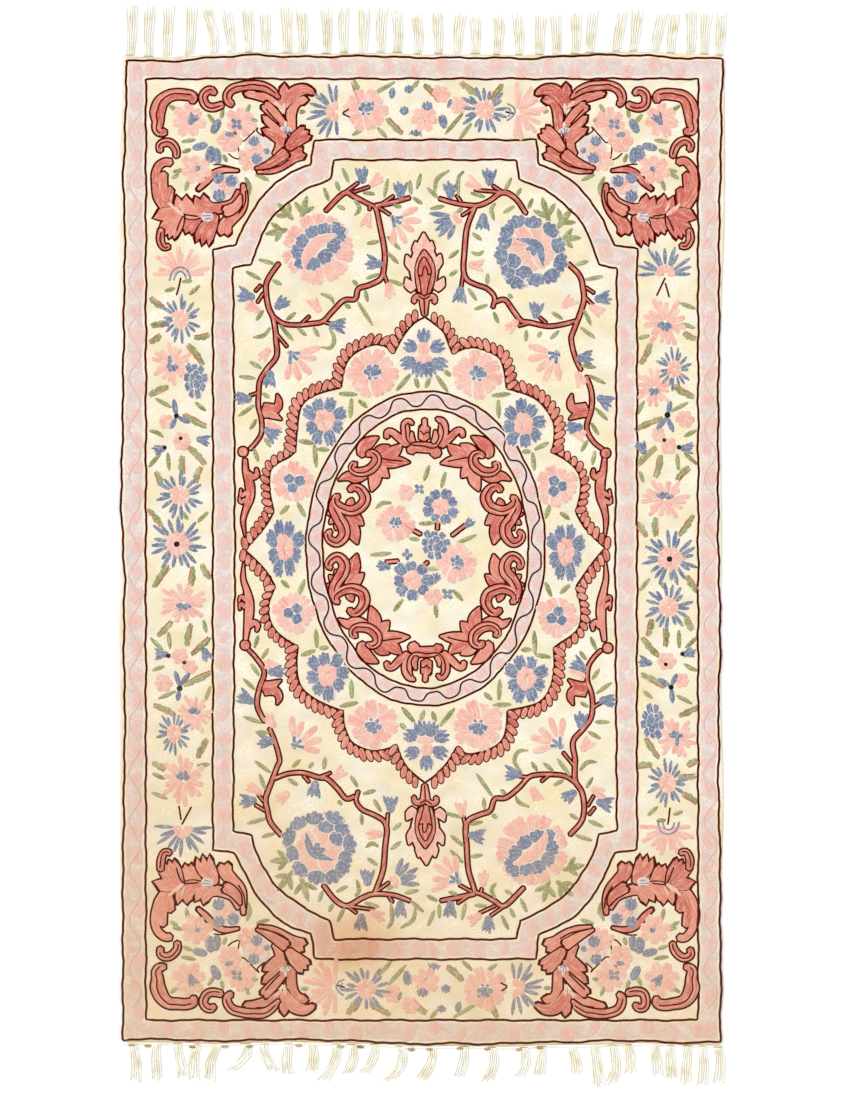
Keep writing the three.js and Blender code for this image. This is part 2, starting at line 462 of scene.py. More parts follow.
@dataclass(frozen=True)
class StitchedWool:
    """Loosely spun wool in rows of chain stitch, hand dyed.

    The rows follow each shape, so the light catches thin ridges along it. The dye took unevenly, and cream
    specks of the cloth show between the stitches.
    """

    name: str
    shade: str
    pale: str  # where the dye took less
    deep: str  # where it took more, and between the rows
    fade: float = 0.0  # how far the rim fades to the ground's cream
    speck: float = 0.35  # how strongly the cloth's cream shows between the stitches
    tint_spread: float = 0.5  # how far whole shapes differ
    roughness: float = 0.95
    gloss: float = 0.08  # specular level: loose wool hardly shines
    sheen: float = 0.08
    fading: float = 1.0  # how readily it fades with age
    ground: str = CREAM  # what shows between its stitches and at its rim
    lot_mm: float = 14.0  # size of the slow noise
    streak_mm: float = 2.6  # breadth of a streak
    streak_slim: float = 0.14  # that breadth as a share of its length
    speck_mm: float = 3.2

    def material(self) -> bpy.types.Material:
        """The wool as a material.

        Slow noise runs between deep and plain, streaks along the rows run to pale, and specks run to cream,
        which also grows with the rim value's power of 2.5. Sine rows give the ridges.
        """
        material, add, shader = new_material(self.name)
        coords = add("TexCoord", output="Object")
        rows = add("UVMap", uv_map="stitch")
        tint = add("Attribute", output="Fac", attribute_name="tint")
        rim = add("Attribute", output="Fac", attribute_name="rim")
        slow = add("TexNoise", {"Vector": coords, "Scale": per_metre(self.lot_mm), "Detail": 2.0})
        lot = add("Math", {0: tint, 1: self.tint_spread, 2: slow}, operation="MULTIPLY_ADD")
        depth = add("MapRange", {"Value": lot, "From Min": 0.35, "From Max": 0.65 + self.tint_spread})
        base = add("Mix", {MIX_FACTOR: depth, MIX_A: linear(self.deep), MIX_B: linear(self.shade)},
                   MIX_RESULT, data_type="RGBA")
        stretched = add("Mapping", {"Vector": rows, "Scale": (1.0, self.streak_slim, 1.0)})
        streaks = add("TexNoise", {"Vector": stretched, "Scale": per_metre(self.streak_mm), "Detail": 2.0})
        streak = add("MapRange", {"Value": streaks, "From Min": 0.5, "From Max": 0.68, "To Max": 0.8})
        streaked = add("Mix", {MIX_FACTOR: streak, MIX_A: base, MIX_B: linear(self.pale)}, MIX_RESULT,
                       data_type="RGBA")
        grain = add("TexNoise", {"Vector": coords, "Scale": per_metre(self.speck_mm), "Detail": 3.0})
        specks = add("MapRange", {"Value": grain, "From Min": 0.52, "From Max": 0.66, "To Max": self.speck})
        outward = add("Math", {0: rim, 1: 2.5}, operation="POWER")
        edge = add("Math", {0: outward, 1: self.fade, 2: specks}, operation="MULTIPLY_ADD", use_clamp=True)
        faded = add("Mix", {MIX_FACTOR: edge, MIX_A: streaked, MIX_B: linear(self.ground)}, MIX_RESULT,
                    data_type="RGBA")
        aged = AGEING.over(add, coords, faded, self.fading)
        ridges = add("TexWave", {"Vector": rows, "Scale": per_metre(ROW_PITCH_MM) * WAVE_PERIOD}, "Fac",
                     bands_direction="X")
        relief = add("Math", {0: grain, 1: 1.2, 2: ridges}, operation="MULTIPLY_ADD")
        bump = add("Bump", {"Height": relief, "Strength": 0.55, "Distance": 0.0007})
        feed(shader, {"Base Color": aged, "Normal": bump, "Roughness": self.roughness,
                      "Specular IOR Level": self.gloss, "Sheen Weight": self.sheen})
        return material


@dataclass(frozen=True)
class GroundWool:
    """Cream wool over the whole ground, in rows of chain stitch that swirl and wander.

    Lots of slightly different cream were used up one after another, so the ground is mottled from ivory to
    butter. The grooves between the rows are darkened with painted shade, which reads as fine darker grain.
    """

    name: str = "cream_ground_chain_stitch_wool"
    shade: str = "#FBF1D8"
    ivory: str = "#FFFBEA"
    butter: str = "#F8E7B4"
    # painted shade in the grooves between the rows
    groove_shade: str = "#DBC69E"
    swirl_mm: float = 26.0
    row_mm: float = 3.6  # a coarse row, since a single one is finer than the picture shows
    lots_mm: float = 60.0
    groove_shade_depth: float = 0.34  # how far the painted shade darkens the grooves
    bend_m: float = 0.11  # how far the rows are pushed by the noise, at most
    grain_mm: float = 3.0

    def material(self) -> bpy.types.Material:
        """The ground as a material.

        Bands one row wide are bent by noise of twice the swirl's size. Noise of the lots' size runs from
        ivory to butter. Where the relief is low, painted shade darkens the grooves between the rows.
        """
        material, add, shader = new_material(self.name)
        coords = add("TexCoord", output="Object")
        lots = add("TexNoise", {"Vector": coords, "Scale": per_metre(self.lots_mm), "Detail": 4.0})
        warm = add("MapRange", {"Value": lots, "From Min": 0.46, "From Max": 0.7, "To Max": 0.75})
        light = add("MapRange", {"Value": lots, "From Min": 0.5, "From Max": 0.32, "To Max": 0.8})
        butter = add("Mix", {MIX_FACTOR: warm, MIX_A: linear(self.shade), MIX_B: linear(self.butter)},
                     MIX_RESULT, data_type="RGBA")
        mottled = add("Mix", {MIX_FACTOR: light, MIX_A: butter, MIX_B: linear(self.ivory)}, MIX_RESULT,
                      data_type="RGBA")
        bend = add("TexNoise", {"Vector": coords, "Scale": per_metre(self.swirl_mm * 2), "Detail": 1.0},
                   "Color")
        pushed = add("VectorMath", {0: bend, 1: (self.bend_m, self.bend_m, 0.0), 2: coords},
                     operation="MULTIPLY_ADD")
        rows = add("TexWave", {"Vector": pushed, "Scale": per_metre(self.row_mm) * WAVE_PERIOD,
                               "Distortion": 1.2, "Detail": 2.0, "Detail Scale": 2.0}, "Fac",
                   bands_direction="Y")
        grain = add("TexNoise", {"Vector": coords, "Scale": per_metre(self.grain_mm), "Detail": 3.0})
        relief = add("Math", {0: grain, 1: 1.3, 2: rows}, operation="MULTIPLY_ADD")
        # painted shade: the lower the relief, the more the grooves are darkened towards the shade colour
        dark = add("MapRange",
                   {"Value": relief, "From Min": 1.0, "From Max": 0.55, "To Max": self.groove_shade_depth})
        groove_shaded = add("Mix", {MIX_FACTOR: dark, MIX_A: mottled, MIX_B: linear(self.groove_shade)}, MIX_RESULT,
                      data_type="RGBA")
        aged = AGEING.over(add, coords, groove_shaded)
        bump = add("Bump", {"Height": relief, "Strength": 0.5, "Distance": 0.0008})
        feed(shader, {"Base Color": aged, "Normal": bump, "Roughness": 0.95, "Sheen Weight": 0.1})
        return material


# Names, shades, pale and deep ones, and where they differ from the usual.
FINISHES: dict[Wool, StitchedWool | GroundWool] = {
    Wool.CREAM: StitchedWool("cream_edge_stitch_wool", "#FBEFE0", "#FFF9EE", "#F6E0D2", speck=0.1),
    Wool.CORAL: StitchedWool("coral_chain_stitch_wool", "#F09D88", "#F7BAA6", "#C9524A", fade=0.2, speck=0.16,
                             tint_spread=0.8),
    Wool.MAROON: StitchedWool("maroon_outline_wool", "#5E0300", "#761409", "#400000", speck=0.03, sheen=0.0,
                              gloss=0.0, fading=0.15),
    Wool.BLUE: StitchedWool("dusty_blue_chain_stitch_wool", "#808CA8", "#A9B2C2", "#637394", fade=0.12,
                            speck=0.4),
    Wool.PINK: StitchedWool("pale_pink_chain_stitch_wool", "#F9C8BB", "#FDDFD2", "#F4A99C", fade=0.55,
                            speck=0.4),
    Wool.GREEN: StitchedWool("sage_chain_stitch_wool", "#A6AB76", "#C6C79C", "#82824C", fade=0.2, speck=0.4),
    # the band's fourth colour and its depth are painted shade in its grooves
    Wool.MAUVE: GroundWool("grey_mauve_chain_stitch_wool", "#F0DED5", "#FBEDE2", "#F5D2C7", "#BCB5BC",
                           swirl_mm=9.0, row_mm=5.0, lots_mm=26.0, groove_shade_depth=0.6),
    Wool.BLACK: StitchedWool("black_wool_dots", "#1C1A1C", "#3A3636", "#0E0D0F", speck=0.05),
}
BAND_PINK = StitchedWool("faded_pink_chain_stitch_wool", "#F8C6B8", "#FAE0D4", "#F4B0A0", fade=0.85,
                         speck=0.5, ground="#EADBD4")
FADED_AREAS = ("guard_bands", "oval_band")  # where the pink is the faded one


@dataclass(frozen=True)
class FringeCotton:
    """Undyed cotton yarn, two plies twisted together, a little soiled where it lies on the floor."""

    name: str = "undyed_cotton_fringe_yarn"
    shade: str = "#FFF8DF"
    pale: str = "#FFFFF8"
    soiled: str = "#E2D2A8"
    twist_mm: float = 5.0
    soil_mm: float = 22.0  # size of the soiled parts

    def material(self) -> bpy.types.Material:
        """The yarn as a material.

        Slanting bands one twist long run round the yarn by its own map, and slow noise soils it in parts.
        """
        material, add, shader = new_material(self.name)
        coords = add("TexCoord", output="Object")
        yarn = add("UVMap", uv_map="stitch")
        tint = add("Attribute", output="Fac", attribute_name="tint")
        slant = add("Mapping", {"Vector": yarn, "Rotation": (0.0, 0.0, 0.6)})
        plies = add("TexWave", {"Vector": slant, "Scale": per_metre(self.twist_mm) * WAVE_PERIOD,
                                "Distortion": 0.8}, "Fac", bands_direction="Y")
        soil = add("TexNoise", {"Vector": coords, "Scale": per_metre(self.soil_mm), "Detail": 4.0})
        lot = add("Math", {0: tint, 1: 0.35, 2: soil}, operation="MULTIPLY_ADD")
        clean = add("MapRange", {"Value": lot, "From Min": 0.5, "From Max": 0.85})
        base = add("Mix", {MIX_FACTOR: clean, MIX_A: linear(self.shade), MIX_B: linear(self.pale)},
                   MIX_RESULT, data_type="RGBA")
        dirt = add("MapRange", {"Value": soil, "From Min": 0.5, "From Max": 0.3, "To Max": 0.45})
        soiled = add("Mix", {MIX_FACTOR: dirt, MIX_A: base, MIX_B: linear(self.soiled)}, MIX_RESULT,
                     data_type="RGBA")
        bump = add("Bump", {"Height": plies, "Strength": 0.35, "Distance": 0.0005})
        feed(shader, {"Base Color": soiled, "Normal": bump, "Roughness": 0.9})
        return material


def grid_faces(rows: int, columns: int, first: int = 0) -> np.ndarray:
    """The quads of a grid with its points numbered row by row, its columns to the right of the rows' way."""
    n = first + np.arange(rows * columns).reshape(rows, columns)
    return np.stack([n[:-1, :-1], n[:-1, 1:], n[1:, 1:], n[1:, :-1]], axis=-1).reshape(-1, 4)


def mesh_object(
    name: str, points: np.ndarray, faces: np.ndarray, stitch: np.ndarray | None = None,
    attributes: dict[str, np.ndarray] | None = None
) -> bpy.types.Object:
    """A smooth-shaded mesh object at the origin.

    Args:
        name: its name.
        points: metres in the rug's frame.
        faces: rows of point numbers.
        stitch: for every point, metres across and along the stitch rows.
        attributes: numbers for every point, by name.
    """
    mesh = bpy.data.meshes.new(name)
    mesh.from_pydata(points.tolist(), [], faces.tolist())
    mesh.polygons.foreach_set("use_smooth", np.ones(len(mesh.polygons), dtype=bool))
    if stitch is not None:
        mesh.uv_layers.new(name="stitch").data.foreach_set("uv", stitch[faces.ravel()].ravel())
    for key, values in (attributes or {}).items():
        mesh.attributes.new(key, "FLOAT", "POINT").data.foreach_set("value", values)
    mesh.update()
    piece = bpy.data.objects.new(name, mesh)
    bpy.context.scene.collection.objects.link(piece)
    return piece


def dress(piece: bpy.types.Object, material: bpy.types.Material) -> None:
    """Gives a piece its material, rides it on the rug and reports it."""
    piece.data.materials.append(material)
    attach(piece, "root")
    LOG.info("%s: %d faces", piece.name, len(piece.data.polygons))


@dataclass
class Needlework:
    """The sewn shapes of the rug, gathered by area and wool, one piece for each pair."""

    seed: int = 23
    shapes: dict[tuple[str, Wool], list[Patch]] = field(default_factory=dict)

    def sew(self, area: str, wool: Wool, shapes: Iterable[Patch]) -> None:
        """Adds shapes of one wool to an area."""
        self.shapes.setdefault((area, wool), []).extend(shapes)

    def ringed(self, area: str, wool: Wool, shape: Shape, over: float = 0.0) -> None:
        """Sews a shape with a dark row all round it, as a grown maroon shape under it.

        Args:
            area: area of the rug.
            wool: the wool of the filling.
            shape: the shape.
            over: how much higher than its wool's own layer it lies, in mm.
        """
        seat = TOPS[Wool.MAROON] + over
        self.sew(area, Wool.MAROON, [shape(height=seat, grow=OUTLINE)])
        self.sew(area, wool, [shape(height=TOPS[wool] + over, seat=seat)])

    def edged(self, area: str, wool: Wool, shape: Shape, top: float, edge: float,
              under: float = UNDER_MM) -> None:
        """Sews a petal with a cream edge, as a grown cream one a little under it.

        Args:
            area: area of the rug.
            wool: the petal's wool.
            shape: the petal.
            top: top of the petal in mm.
            edge: breadth of the edge.
            under: how far the cream lies under the petal, in mm.
        """
        self.sew(area, Wool.CREAM, [shape(height=top - under, grow=edge)])
        self.sew(area, wool, [shape(height=top)])

    def piece(self, area: str, wool: Wool, patches: list[Patch],
              rng: np.random.Generator) -> bpy.types.Object:
        """Joins the patches of one area and wool into a mesh, each with a tint of its own.

        Args:
            area: area of the rug.
            wool: their wool.
            patches: the patches.
            rng: source of the tints.
        """
        sizes = [patch.rim.shape for patch in patches]
        counts = np.array([rows * columns for rows, columns in sizes])
        firsts = np.cumsum(counts) - counts
        faces = np.concatenate([grid_faces(*size, first) for size, first in zip(sizes, firsts)])
        cartoon = np.concatenate([patch.place.reshape(-1, 3) for patch in patches])
        stitch = np.concatenate([patch.stitch.reshape(-1, 2) for patch in patches]) * MM
        stitch += np.repeat(rng.uniform(0, 1, (len(patches), 2)), counts, axis=0)
        rim = np.concatenate([patch.rim.ravel() for patch in patches])
        chance, own = rng.uniform(0, 1, len(patches)), np.array([patch.tint for patch in patches])
        tint = np.repeat(np.where(own < 0, chance, own), counts)
        name = f"{area}_{wool.name.lower()}"
        return mesh_object(name, to_rug(cartoon), faces, stitch, {"rim": rim, "tint": tint})

    def finish(self) -> list[bpy.types.Object]:
        """Makes and dresses every piece, and returns them."""
        rng = np.random.default_rng(self.seed)
        materials = {wool: finish.material() for wool, finish in FINISHES.items()}
        faded = BAND_PINK.material()
        pieces = []
        for (area, wool), patches in self.shapes.items():
            pieces.append(self.piece(area, wool, patches, rng))
            dress(pieces[-1], faded if wool is Wool.PINK and area in FADED_AREAS else materials[wool])
        return pieces


@dataclass
class ClothFace:
    """The ground of cream wool with its turned edge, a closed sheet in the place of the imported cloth."""

    width_mm: float = 922.0
    length_mm: float = 1514.0
    corner_mm: float = 9.0
    turn_mm: float = 2.4  # breadth of the rounded edge
    edge_drop_mm: float = 0.9
    edge_lift_mm: float = 0.5
    cell_mm: float = 14.0
    near_edge_mm: tuple[float, ...] = (0.0, 0.8, 1.6, 2.4, 4.5, 6.7, 9.0)
    drawn_in_left: tuple[float, ...] = (6, 1.5, 0, 0.5, 3, 2.5, 1.5, 0, 1.5, 1.5, 1.5, 4, 4.5)
    drawn_in_right: tuple[float, ...] = (1.5, 0, 0.5, 5, 6.5, 5.5, 4.5, 6, 5, 2, 5, 6.5, 4.5)
    drawn_in_top: tuple[float, ...] = (6.5, 8.5, 4.5, 0.5, 2.5, 3, 1.5, 4, 4, 4.5, 5.5, 1.5, 0, 2, 5.5)
    drawn_in_bottom: tuple[float, ...] = (6.5, 6.5, 4.5, 6, 7, 5.5, 4, 0.5, 1.5, 0, 3, 3, 5.5, 4, 1.5)

    def drawn_in(self, table: Sequence[float], share: np.ndarray) -> np.ndarray:
        """How far an edge is drawn in at a share of its length, on a smooth curve through its stations."""
        curve = smooth_line(np.stack([np.linspace(0, 1, len(table)), table], axis=1), 0.5)
        return np.interp(share, curve[:, 0], curve[:, 1])

    def end_y_mm(self, side: int, x_mm: np.ndarray) -> np.ndarray:
        """The y of an end of the cloth at any x. side is 1 for the top end and -1 for the bottom end."""
        table = self.drawn_in_top if side > 0 else self.drawn_in_bottom
        reach = self.width_mm / 2 - self.corner_mm
        share = (x_mm - CENTRING_MM[0] + reach) / (2 * reach)
        return side * (self.length_mm / 2 - self.drawn_in(table, share)) + CENTRING_MM[1]

    def stations(self, size_mm: float) -> np.ndarray:
        """Even stations across a side, with closer ones near both edges for the turned edge and corners."""
        near = np.array(self.near_edge_mm) - size_mm / 2
        count = int((size_mm - 2 * self.near_edge_mm[-1]) / self.cell_mm)
        return np.concatenate([near[:-1], np.linspace(near[-1], -near[-1], count), -near[:-1][::-1]])

    def build(self) -> bpy.types.Object:
        """Makes the sheet: a face grid, an underside grid and the wall between their borders.

        A point of the grid moves in with its edges' tables. Within a corner's square, its two coordinates are
        shortened by the root of one less half the other's square, which rounds the corner. Near the edge the
        face falls and the underside rises with the square of what is left of the turn's breadth.
        """
        half = np.array([self.width_mm, self.length_mm]) / 2
        y, x = np.meshgrid(self.stations(self.length_mm), self.stations(self.width_mm), indexing="ij")
        gap = np.minimum(half[0] - np.abs(x), half[1] - np.abs(y))
        p, q = (np.clip(1 - (h - np.abs(v)) / self.corner_mm, 0, 1) for h, v in ((half[0], x), (half[1], y)))
        x_round = np.sign(x) * (half[0] - self.corner_mm + self.corner_mm * p * np.sqrt(1 - q**2 / 2))
        y_round = np.sign(y) * (half[1] - self.corner_mm + self.corner_mm * q * np.sqrt(1 - p**2 / 2))
        x, y = np.where(p > 0, x_round, x), np.where(q > 0, y_round, y)
        down, across = 0.5 - y / self.length_mm, 0.5 + x / self.width_mm
        left, right = self.drawn_in(self.drawn_in_left, down), self.drawn_in(self.drawn_in_right, down)
        top, bottom = self.drawn_in(self.drawn_in_top, across), self.drawn_in(self.drawn_in_bottom, across)
        x = x + left * (1 - across) - right * across + CENTRING_MM[0]
        y = y + bottom * down - top * (1 - down) + CENTRING_MM[1]
        edge = (1 - np.clip(gap / self.turn_mm, 0, 1)) ** 2
        face = np.stack([x, y, GROUND_MM - self.edge_drop_mm * edge], axis=-1).reshape(-1, 3)
        under = np.stack([x, y, self.edge_lift_mm * edge], axis=-1).reshape(-1, 3)
        rows, columns = gap.shape
        number = np.arange(rows * columns).reshape(rows, columns)
        border = np.concatenate([number[0], number[1:, -1], number[-1, -2::-1], number[-2:0:-1, 0]])
        after = np.roll(border, -1)
        below = rows * columns
        wall = np.stack([border, border + below, after + below, after], axis=1)
        faces = np.concatenate([grid_faces(rows, columns), grid_faces(rows, columns, below)[:, ::-1], wall])
        return mesh_object("cloth_face", np.concatenate([face, under]) * MM, faces)


def both(line: Line) -> tuple[np.ndarray, np.ndarray]:
    """A line and the same one turned by half a turn."""
    points = pairs(line)
    return points, turned(points)


def twinned(lines: Iterable[Line]) -> list[np.ndarray]:
    """Every line, each followed by its twin turned by half a turn."""
    return [way for line in lines for way in both(line)]


def dark_rows(ways: Iterable[Line], top: float) -> list[Patch]:
    """Thin rows of stitches along the lines, with their tops at that height in mm."""
    return [stroke(way, VEIN_HALF, top, step=1.6) for way in ways]


@dataclass
class GuardBands:
    """The grey-mauve bands with pink blobs between dark lines: one at the edge, a stepped one inside it."""

    line_half: float = 1.15
    edge_top: tuple[float, ...] = (60, 62, 58, 55, 57, 57, 56, 58, 58, 58, 59, 56, 55, 56, 59)
    edge_bottom: tuple[float, ...] = (
        1039, 1039, 1041, 1040, 1039, 1040, 1041, 1044, 1043, 1044, 1042, 1042, 1040, 1041, 1043,
    )
    edge_left: tuple[float, ...] = (
        127, 126, 125, 123, 125, 125, 124, 124, 123, 123, 122, 121, 123, 125, 124, 124, 125, 125, 124, 124,
        123, 123, 123, 123, 123,
    )
    edge_right: tuple[float, ...] = (
        723, 721, 721, 720, 719, 719, 719, 719, 718, 718, 718, 718, 718, 719, 720, 720, 718, 719, 718, 719,
        720, 720, 720, 721, 720,
    )
    top_x: tuple[float, float] = (130, 690)  # from the first to the last station of the short sides
    left_y: tuple[float, float] = (62, 1020)
    edge_corners: Line = (126, 60, 723, 58, 720, 1041, 123, 1040)
    inner: tuple[float, float, float, float] = (146, 79, 698, 1020)  # left, top, right, bottom
    step_outer: Line = (
        425, 140, 314.4, 140, 311, 165, 292, 172, 275, 183, 259.5, 200, 247, 221, 240, 235, 235, 246,
        213, 249, 213, 549.5,
    )
    step_inner: Line = (
        425, 160, 333.5, 160, 330.3, 179, 307, 189, 287, 203, 273, 217, 262, 234, 256, 249, 251.5, 265,
        233, 268, 235, 549.5,
    )
    blob_pitch: float = 26.5
    blob_radius: float = 6.6
    blob_uneven: float = 0.25  # share by which the blobs differ
    step_blobs: Line = (
        320, 152, 345, 151, 371, 150, 398, 151, 418, 150, 318, 171, 300, 180, 284, 189, 269, 211, 256, 229,
        245, 251, 222, 262, 224, 284, 222, 309, 225, 334, 223, 360, 224, 386, 222, 411, 225, 437, 223, 462,
        224, 488, 223, 513, 224, 538,
    )
    vine_swing: float = 6.0
    vine_period: float = 49.0
    vine_half: float = 0.8
    vines_x: tuple[float, float] = (134.5, 709.5)
    over_mm: float = 0.1  # how far what is sewn here tops its wool's own layer

    def edge_loops(self) -> tuple[np.ndarray, np.ndarray]:
        """The outer band's two lines, point for point, clockwise from the top-left corner.

        An inner point is its outer point's place along the side, carried over to the shorter inner side.
        """
        x = np.linspace(*self.top_x, len(self.edge_top))
        y = np.linspace(*self.left_y, len(self.edge_left))
        top = np.stack([x, self.edge_top], axis=1)
        bottom = np.stack([x, self.edge_bottom], axis=1)[::-1]
        right = np.stack([self.edge_right, y], axis=1)
        left = np.stack([self.edge_left, y], axis=1)[::-1]
        corners = pairs(self.edge_corners)
        upper_left, upper_right, lower_right, lower_left = corners[:, None]
        outer = np.concatenate([upper_left, top, upper_right, right, lower_right, bottom, lower_left, left,
                                upper_left])
        low, high = corners.min(axis=0), corners.max(axis=0)
        share = np.clip((outer - low) / (high - low), 0, 1)
        x0, y0, x1, y1 = self.inner
        inner = np.array([x0, y0]) + share * np.array([x1 - x0, y1 - y0])
        counts = np.array([len(x), len(y), len(x), len(y)]) + 1
        sides = np.repeat(np.arange(4), counts)
        inner[:-1, 1] = np.where(sides == 0, y0, np.where(sides == 2, y1, inner[:-1, 1]))
        inner[:-1, 0] = np.where(sides == 1, x1, np.where(sides == 3, x0, inner[:-1, 0]))
        inner[[*(np.cumsum(counts) - counts), -1]] = [[x0, y0], [x1, y0], [x1, y1], [x0, y1], [x0, y0]]
        return outer, inner

    def step_loop(self, quarter: Line) -> np.ndarray:
        """A closed stepped line from its upper left quarter: mirrored, then turned by half a turn."""
        left = pairs(quarter)[::-1]
        half = np.concatenate([left, mirrored(quarter)[1:]])
        return np.concatenate([half, turned(half)[1:]])

    def sewn(self, work: Needlework) -> None:
        """Sews both bands, their four dark lines, the pink blobs and the thin vines."""
        outer, inner = self.edge_loops()
        step_outer, step_inner = self.step_loop(self.step_outer), self.step_loop(self.step_inner)
        dense = [resampled(a, b, 4.0) for a, b in ((outer, inner), (step_outer, step_inner))]
        work.sew("guard_bands", Wool.MAUVE, [band(a, b, TOPS[Wool.MAUVE]) for a, b in dense])
        for line in (line for pair in dense for line in pair):
            closed = np.concatenate([line, line[1:2]])
            shape = stroke(closed, self.line_half, TOPS[Wool.MAROON] + self.over_mm, straight=True, step=3.0)
            work.sew("guard_bands", Wool.MAROON, [shape])
        work.sew("guard_bands", Wool.PINK, [self.blob(*spot, k) for k, spot in enumerate(self.blob_spots())])
        work.sew("guard_bands", Wool.PINK, [self.vine(x) for x in self.vines_x])

    def blob_spots(self) -> np.ndarray:
        """The blobs' middles: even ones along the outer band, and the stepped band's own, all turned too."""
        x = np.arange(177, 700, self.blob_pitch)
        y = np.arange(103, 1030, self.blob_pitch * 0.98)
        swing = 3.0 * np.where(np.arange(40) % 2, 1, -1)
        upper = np.stack([x, 68.5 + swing[: len(x)]], axis=1)
        left = np.stack([137 + 0.4 * swing[: len(y)], y], axis=1)
        stepped = pairs(self.step_blobs)
        corner = np.array([[137.0, 71.0], [152.0, 69.0]])
        half = np.concatenate([corner, upper, left, stepped, mirrored(self.step_blobs)])
        twins = turned(half)
        twins[twins[:, 0] > 704, 0] -= 4.5
        return np.concatenate([half, twins])

    def blob(self, x: float, y: float, k: int) -> Patch:
        """One pink blob, a little different from its neighbours by sine waves of its number."""
        wide = self.blob_radius * (1 + self.blob_uneven * np.sin(2.3 * k))
        tall = self.blob_radius * (1.3 + self.blob_uneven * np.sin(3.1 * k + 1))
        turn = 30 * np.sin(3.7 * k)
        return soft(disc((x, y), (wide, tall), TOPS[Wool.MAUVE] + self.over_mm, turn=turn, cells=8))

    def vine(self, x: float) -> Patch:
        """A thin wavy line down a side of the outer band, a sine wave of the vine's period and swing."""
        y = np.arange(92, 1012, 4.0)
        line = np.stack([x + self.vine_swing * np.sin(2 * np.pi * y / self.vine_period), y], axis=1)
        return soft(stroke(line, self.vine_half, TOPS[Wool.PINK] + self.over_mm, tint=1.0))


def resampled(outer: np.ndarray, inner: np.ndarray, step: float) -> tuple[np.ndarray, np.ndarray]:
    """Both lines with even points added between their corners, in the same shares on each."""
    counts = np.maximum(1, (np.hypot(*np.diff(outer, axis=0).T) / step).astype(int))
    place = np.concatenate([[0.0], np.cumsum(1 / np.repeat(counts, counts))])
    corner = np.arange(len(outer))
    return tuple(
        np.stack([np.interp(place, corner, line[:, 0]), np.interp(place, corner, line[:, 1])], axis=1)
        for line in (outer, inner))


@dataclass
class RopeMedallion:
    """The scalloped medallion: a dark line with a twisted coral rope outside it."""

    lobes: Lines = (
        (424.7, 317, 414.6, 323.2, 404.6, 333.3, 397.9, 344.4, 394, 353),
        (394, 353, 384, 346, 371, 346, 355.5, 352, 347, 361, 343.5, 374, 342, 388),
        (342, 388, 323, 392, 310.6, 397.5, 302, 406, 298, 417, 296.5, 432.6, 296, 451),
        (296, 451, 289, 456.5, 278, 463.5, 271, 470.5, 269, 482, 270.6, 496, 274, 512),
        (274, 512, 265.7, 525, 256, 538, 246, 549.5),
        (424.7, 317, 434.7, 324.3, 443.7, 332.1, 449.2, 343.3, 452.5, 353.3),
        (452.5, 353.3, 468.5, 348.4, 482.5, 349.8, 498, 356.8, 503.6, 366.7, 505.7, 376.5, 506.4, 388.4),
        (506.4, 388.4, 523.2, 393.3, 537.3, 400.3, 547.1, 410.2, 552.7, 422.8, 554.1, 438.2, 552, 452.2),
        (552, 452.2, 563.9, 459.3, 575.1, 469.1, 580.7, 480.3, 580.7, 494.3, 575.1, 512.6),
        (575.1, 512.6, 583.6, 526.6, 593.4, 537.8, 606, 549.5),
    )
    line_half: float = 1.1
    oval: tuple[float, float] = (2.9, 6.2)
    ring: float = 1.1
    pitch: float = 7.4
    away: float = 5.2
    slant: float = 54.0
    bead_step_mm: float = FILL_MM + 0.005  # a bead lies this much over the last one
    cusp_gaps: tuple[float, float] = (8.0, 3.4)  # free rope at a lobe's start and end
    breadths: tuple[float, ...] = (1.0, 1.04, 1.04, 0.8, 0.95)  # of the rope, from the end lobe outwards

    def strand(self, line: np.ndarray, side: int, k: int) -> list[Shape]:
        """The rope along one lobe: ovals at an even pitch, beside the line and slanted across it.

        Args:
            line: the lobe's dark line.
            side: 1 where the rope lies on the left of the line's way, -1 on its right.
            k: number of the lobe, which varies the ovals.
        """
        breadth = self.breadths[k % len(self.breadths)]
        row = beside(line, side * self.away * breadth)
        along = np.concatenate([[0.0], np.cumsum(np.hypot(*np.diff(row, axis=0).T))])
        free = along[-1] - self.cusp_gaps[0] - self.cusp_gaps[1]
        spots = self.cusp_gaps[0] + np.linspace(0, free, max(2, round(free / self.pitch) + 1))
        x, y = (np.interp(spots, along, row[:, axis]) for axis in (0, 1))
        slope = np.gradient(row, axis=0)
        way = np.degrees(np.arctan2(*(np.interp(spots, along, slope[:, axis]) for axis in (1, 0))))
        sizes = 1 + 0.08 * np.sin(2.1 * np.arange(len(spots)) + k)
        return [partial(disc, spot, (self.oval[0] * size, self.oval[1] * size * breadth), turn=turn)
                for *spot, turn, size in zip(x, y, way + side * self.slant - 90, sizes)]

    def sewn(self, work: Needlework) -> None:
        """Sews the dark lines and the rope of every lobe and its turned twin."""
        for k, lobe in enumerate(self.lobes):
            for line in both(lobe):
                edge = stroke(line, self.line_half, TOPS[Wool.MAROON] + LINE_OVER)
                work.sew("medallion", Wool.MAROON, [edge])
                for j, oval in enumerate(self.strand(line, -1 if k < len(self.breadths) else 1, k)):
                    seat = TOPS[Wool.MAROON] + self.bead_step_mm * j
                    work.sew("medallion", Wool.MAROON, [oval(height=seat, grow=self.ring)])
                    work.sew("medallion", Wool.CORAL, [oval(height=seat + FILL_MM, seat=seat)])


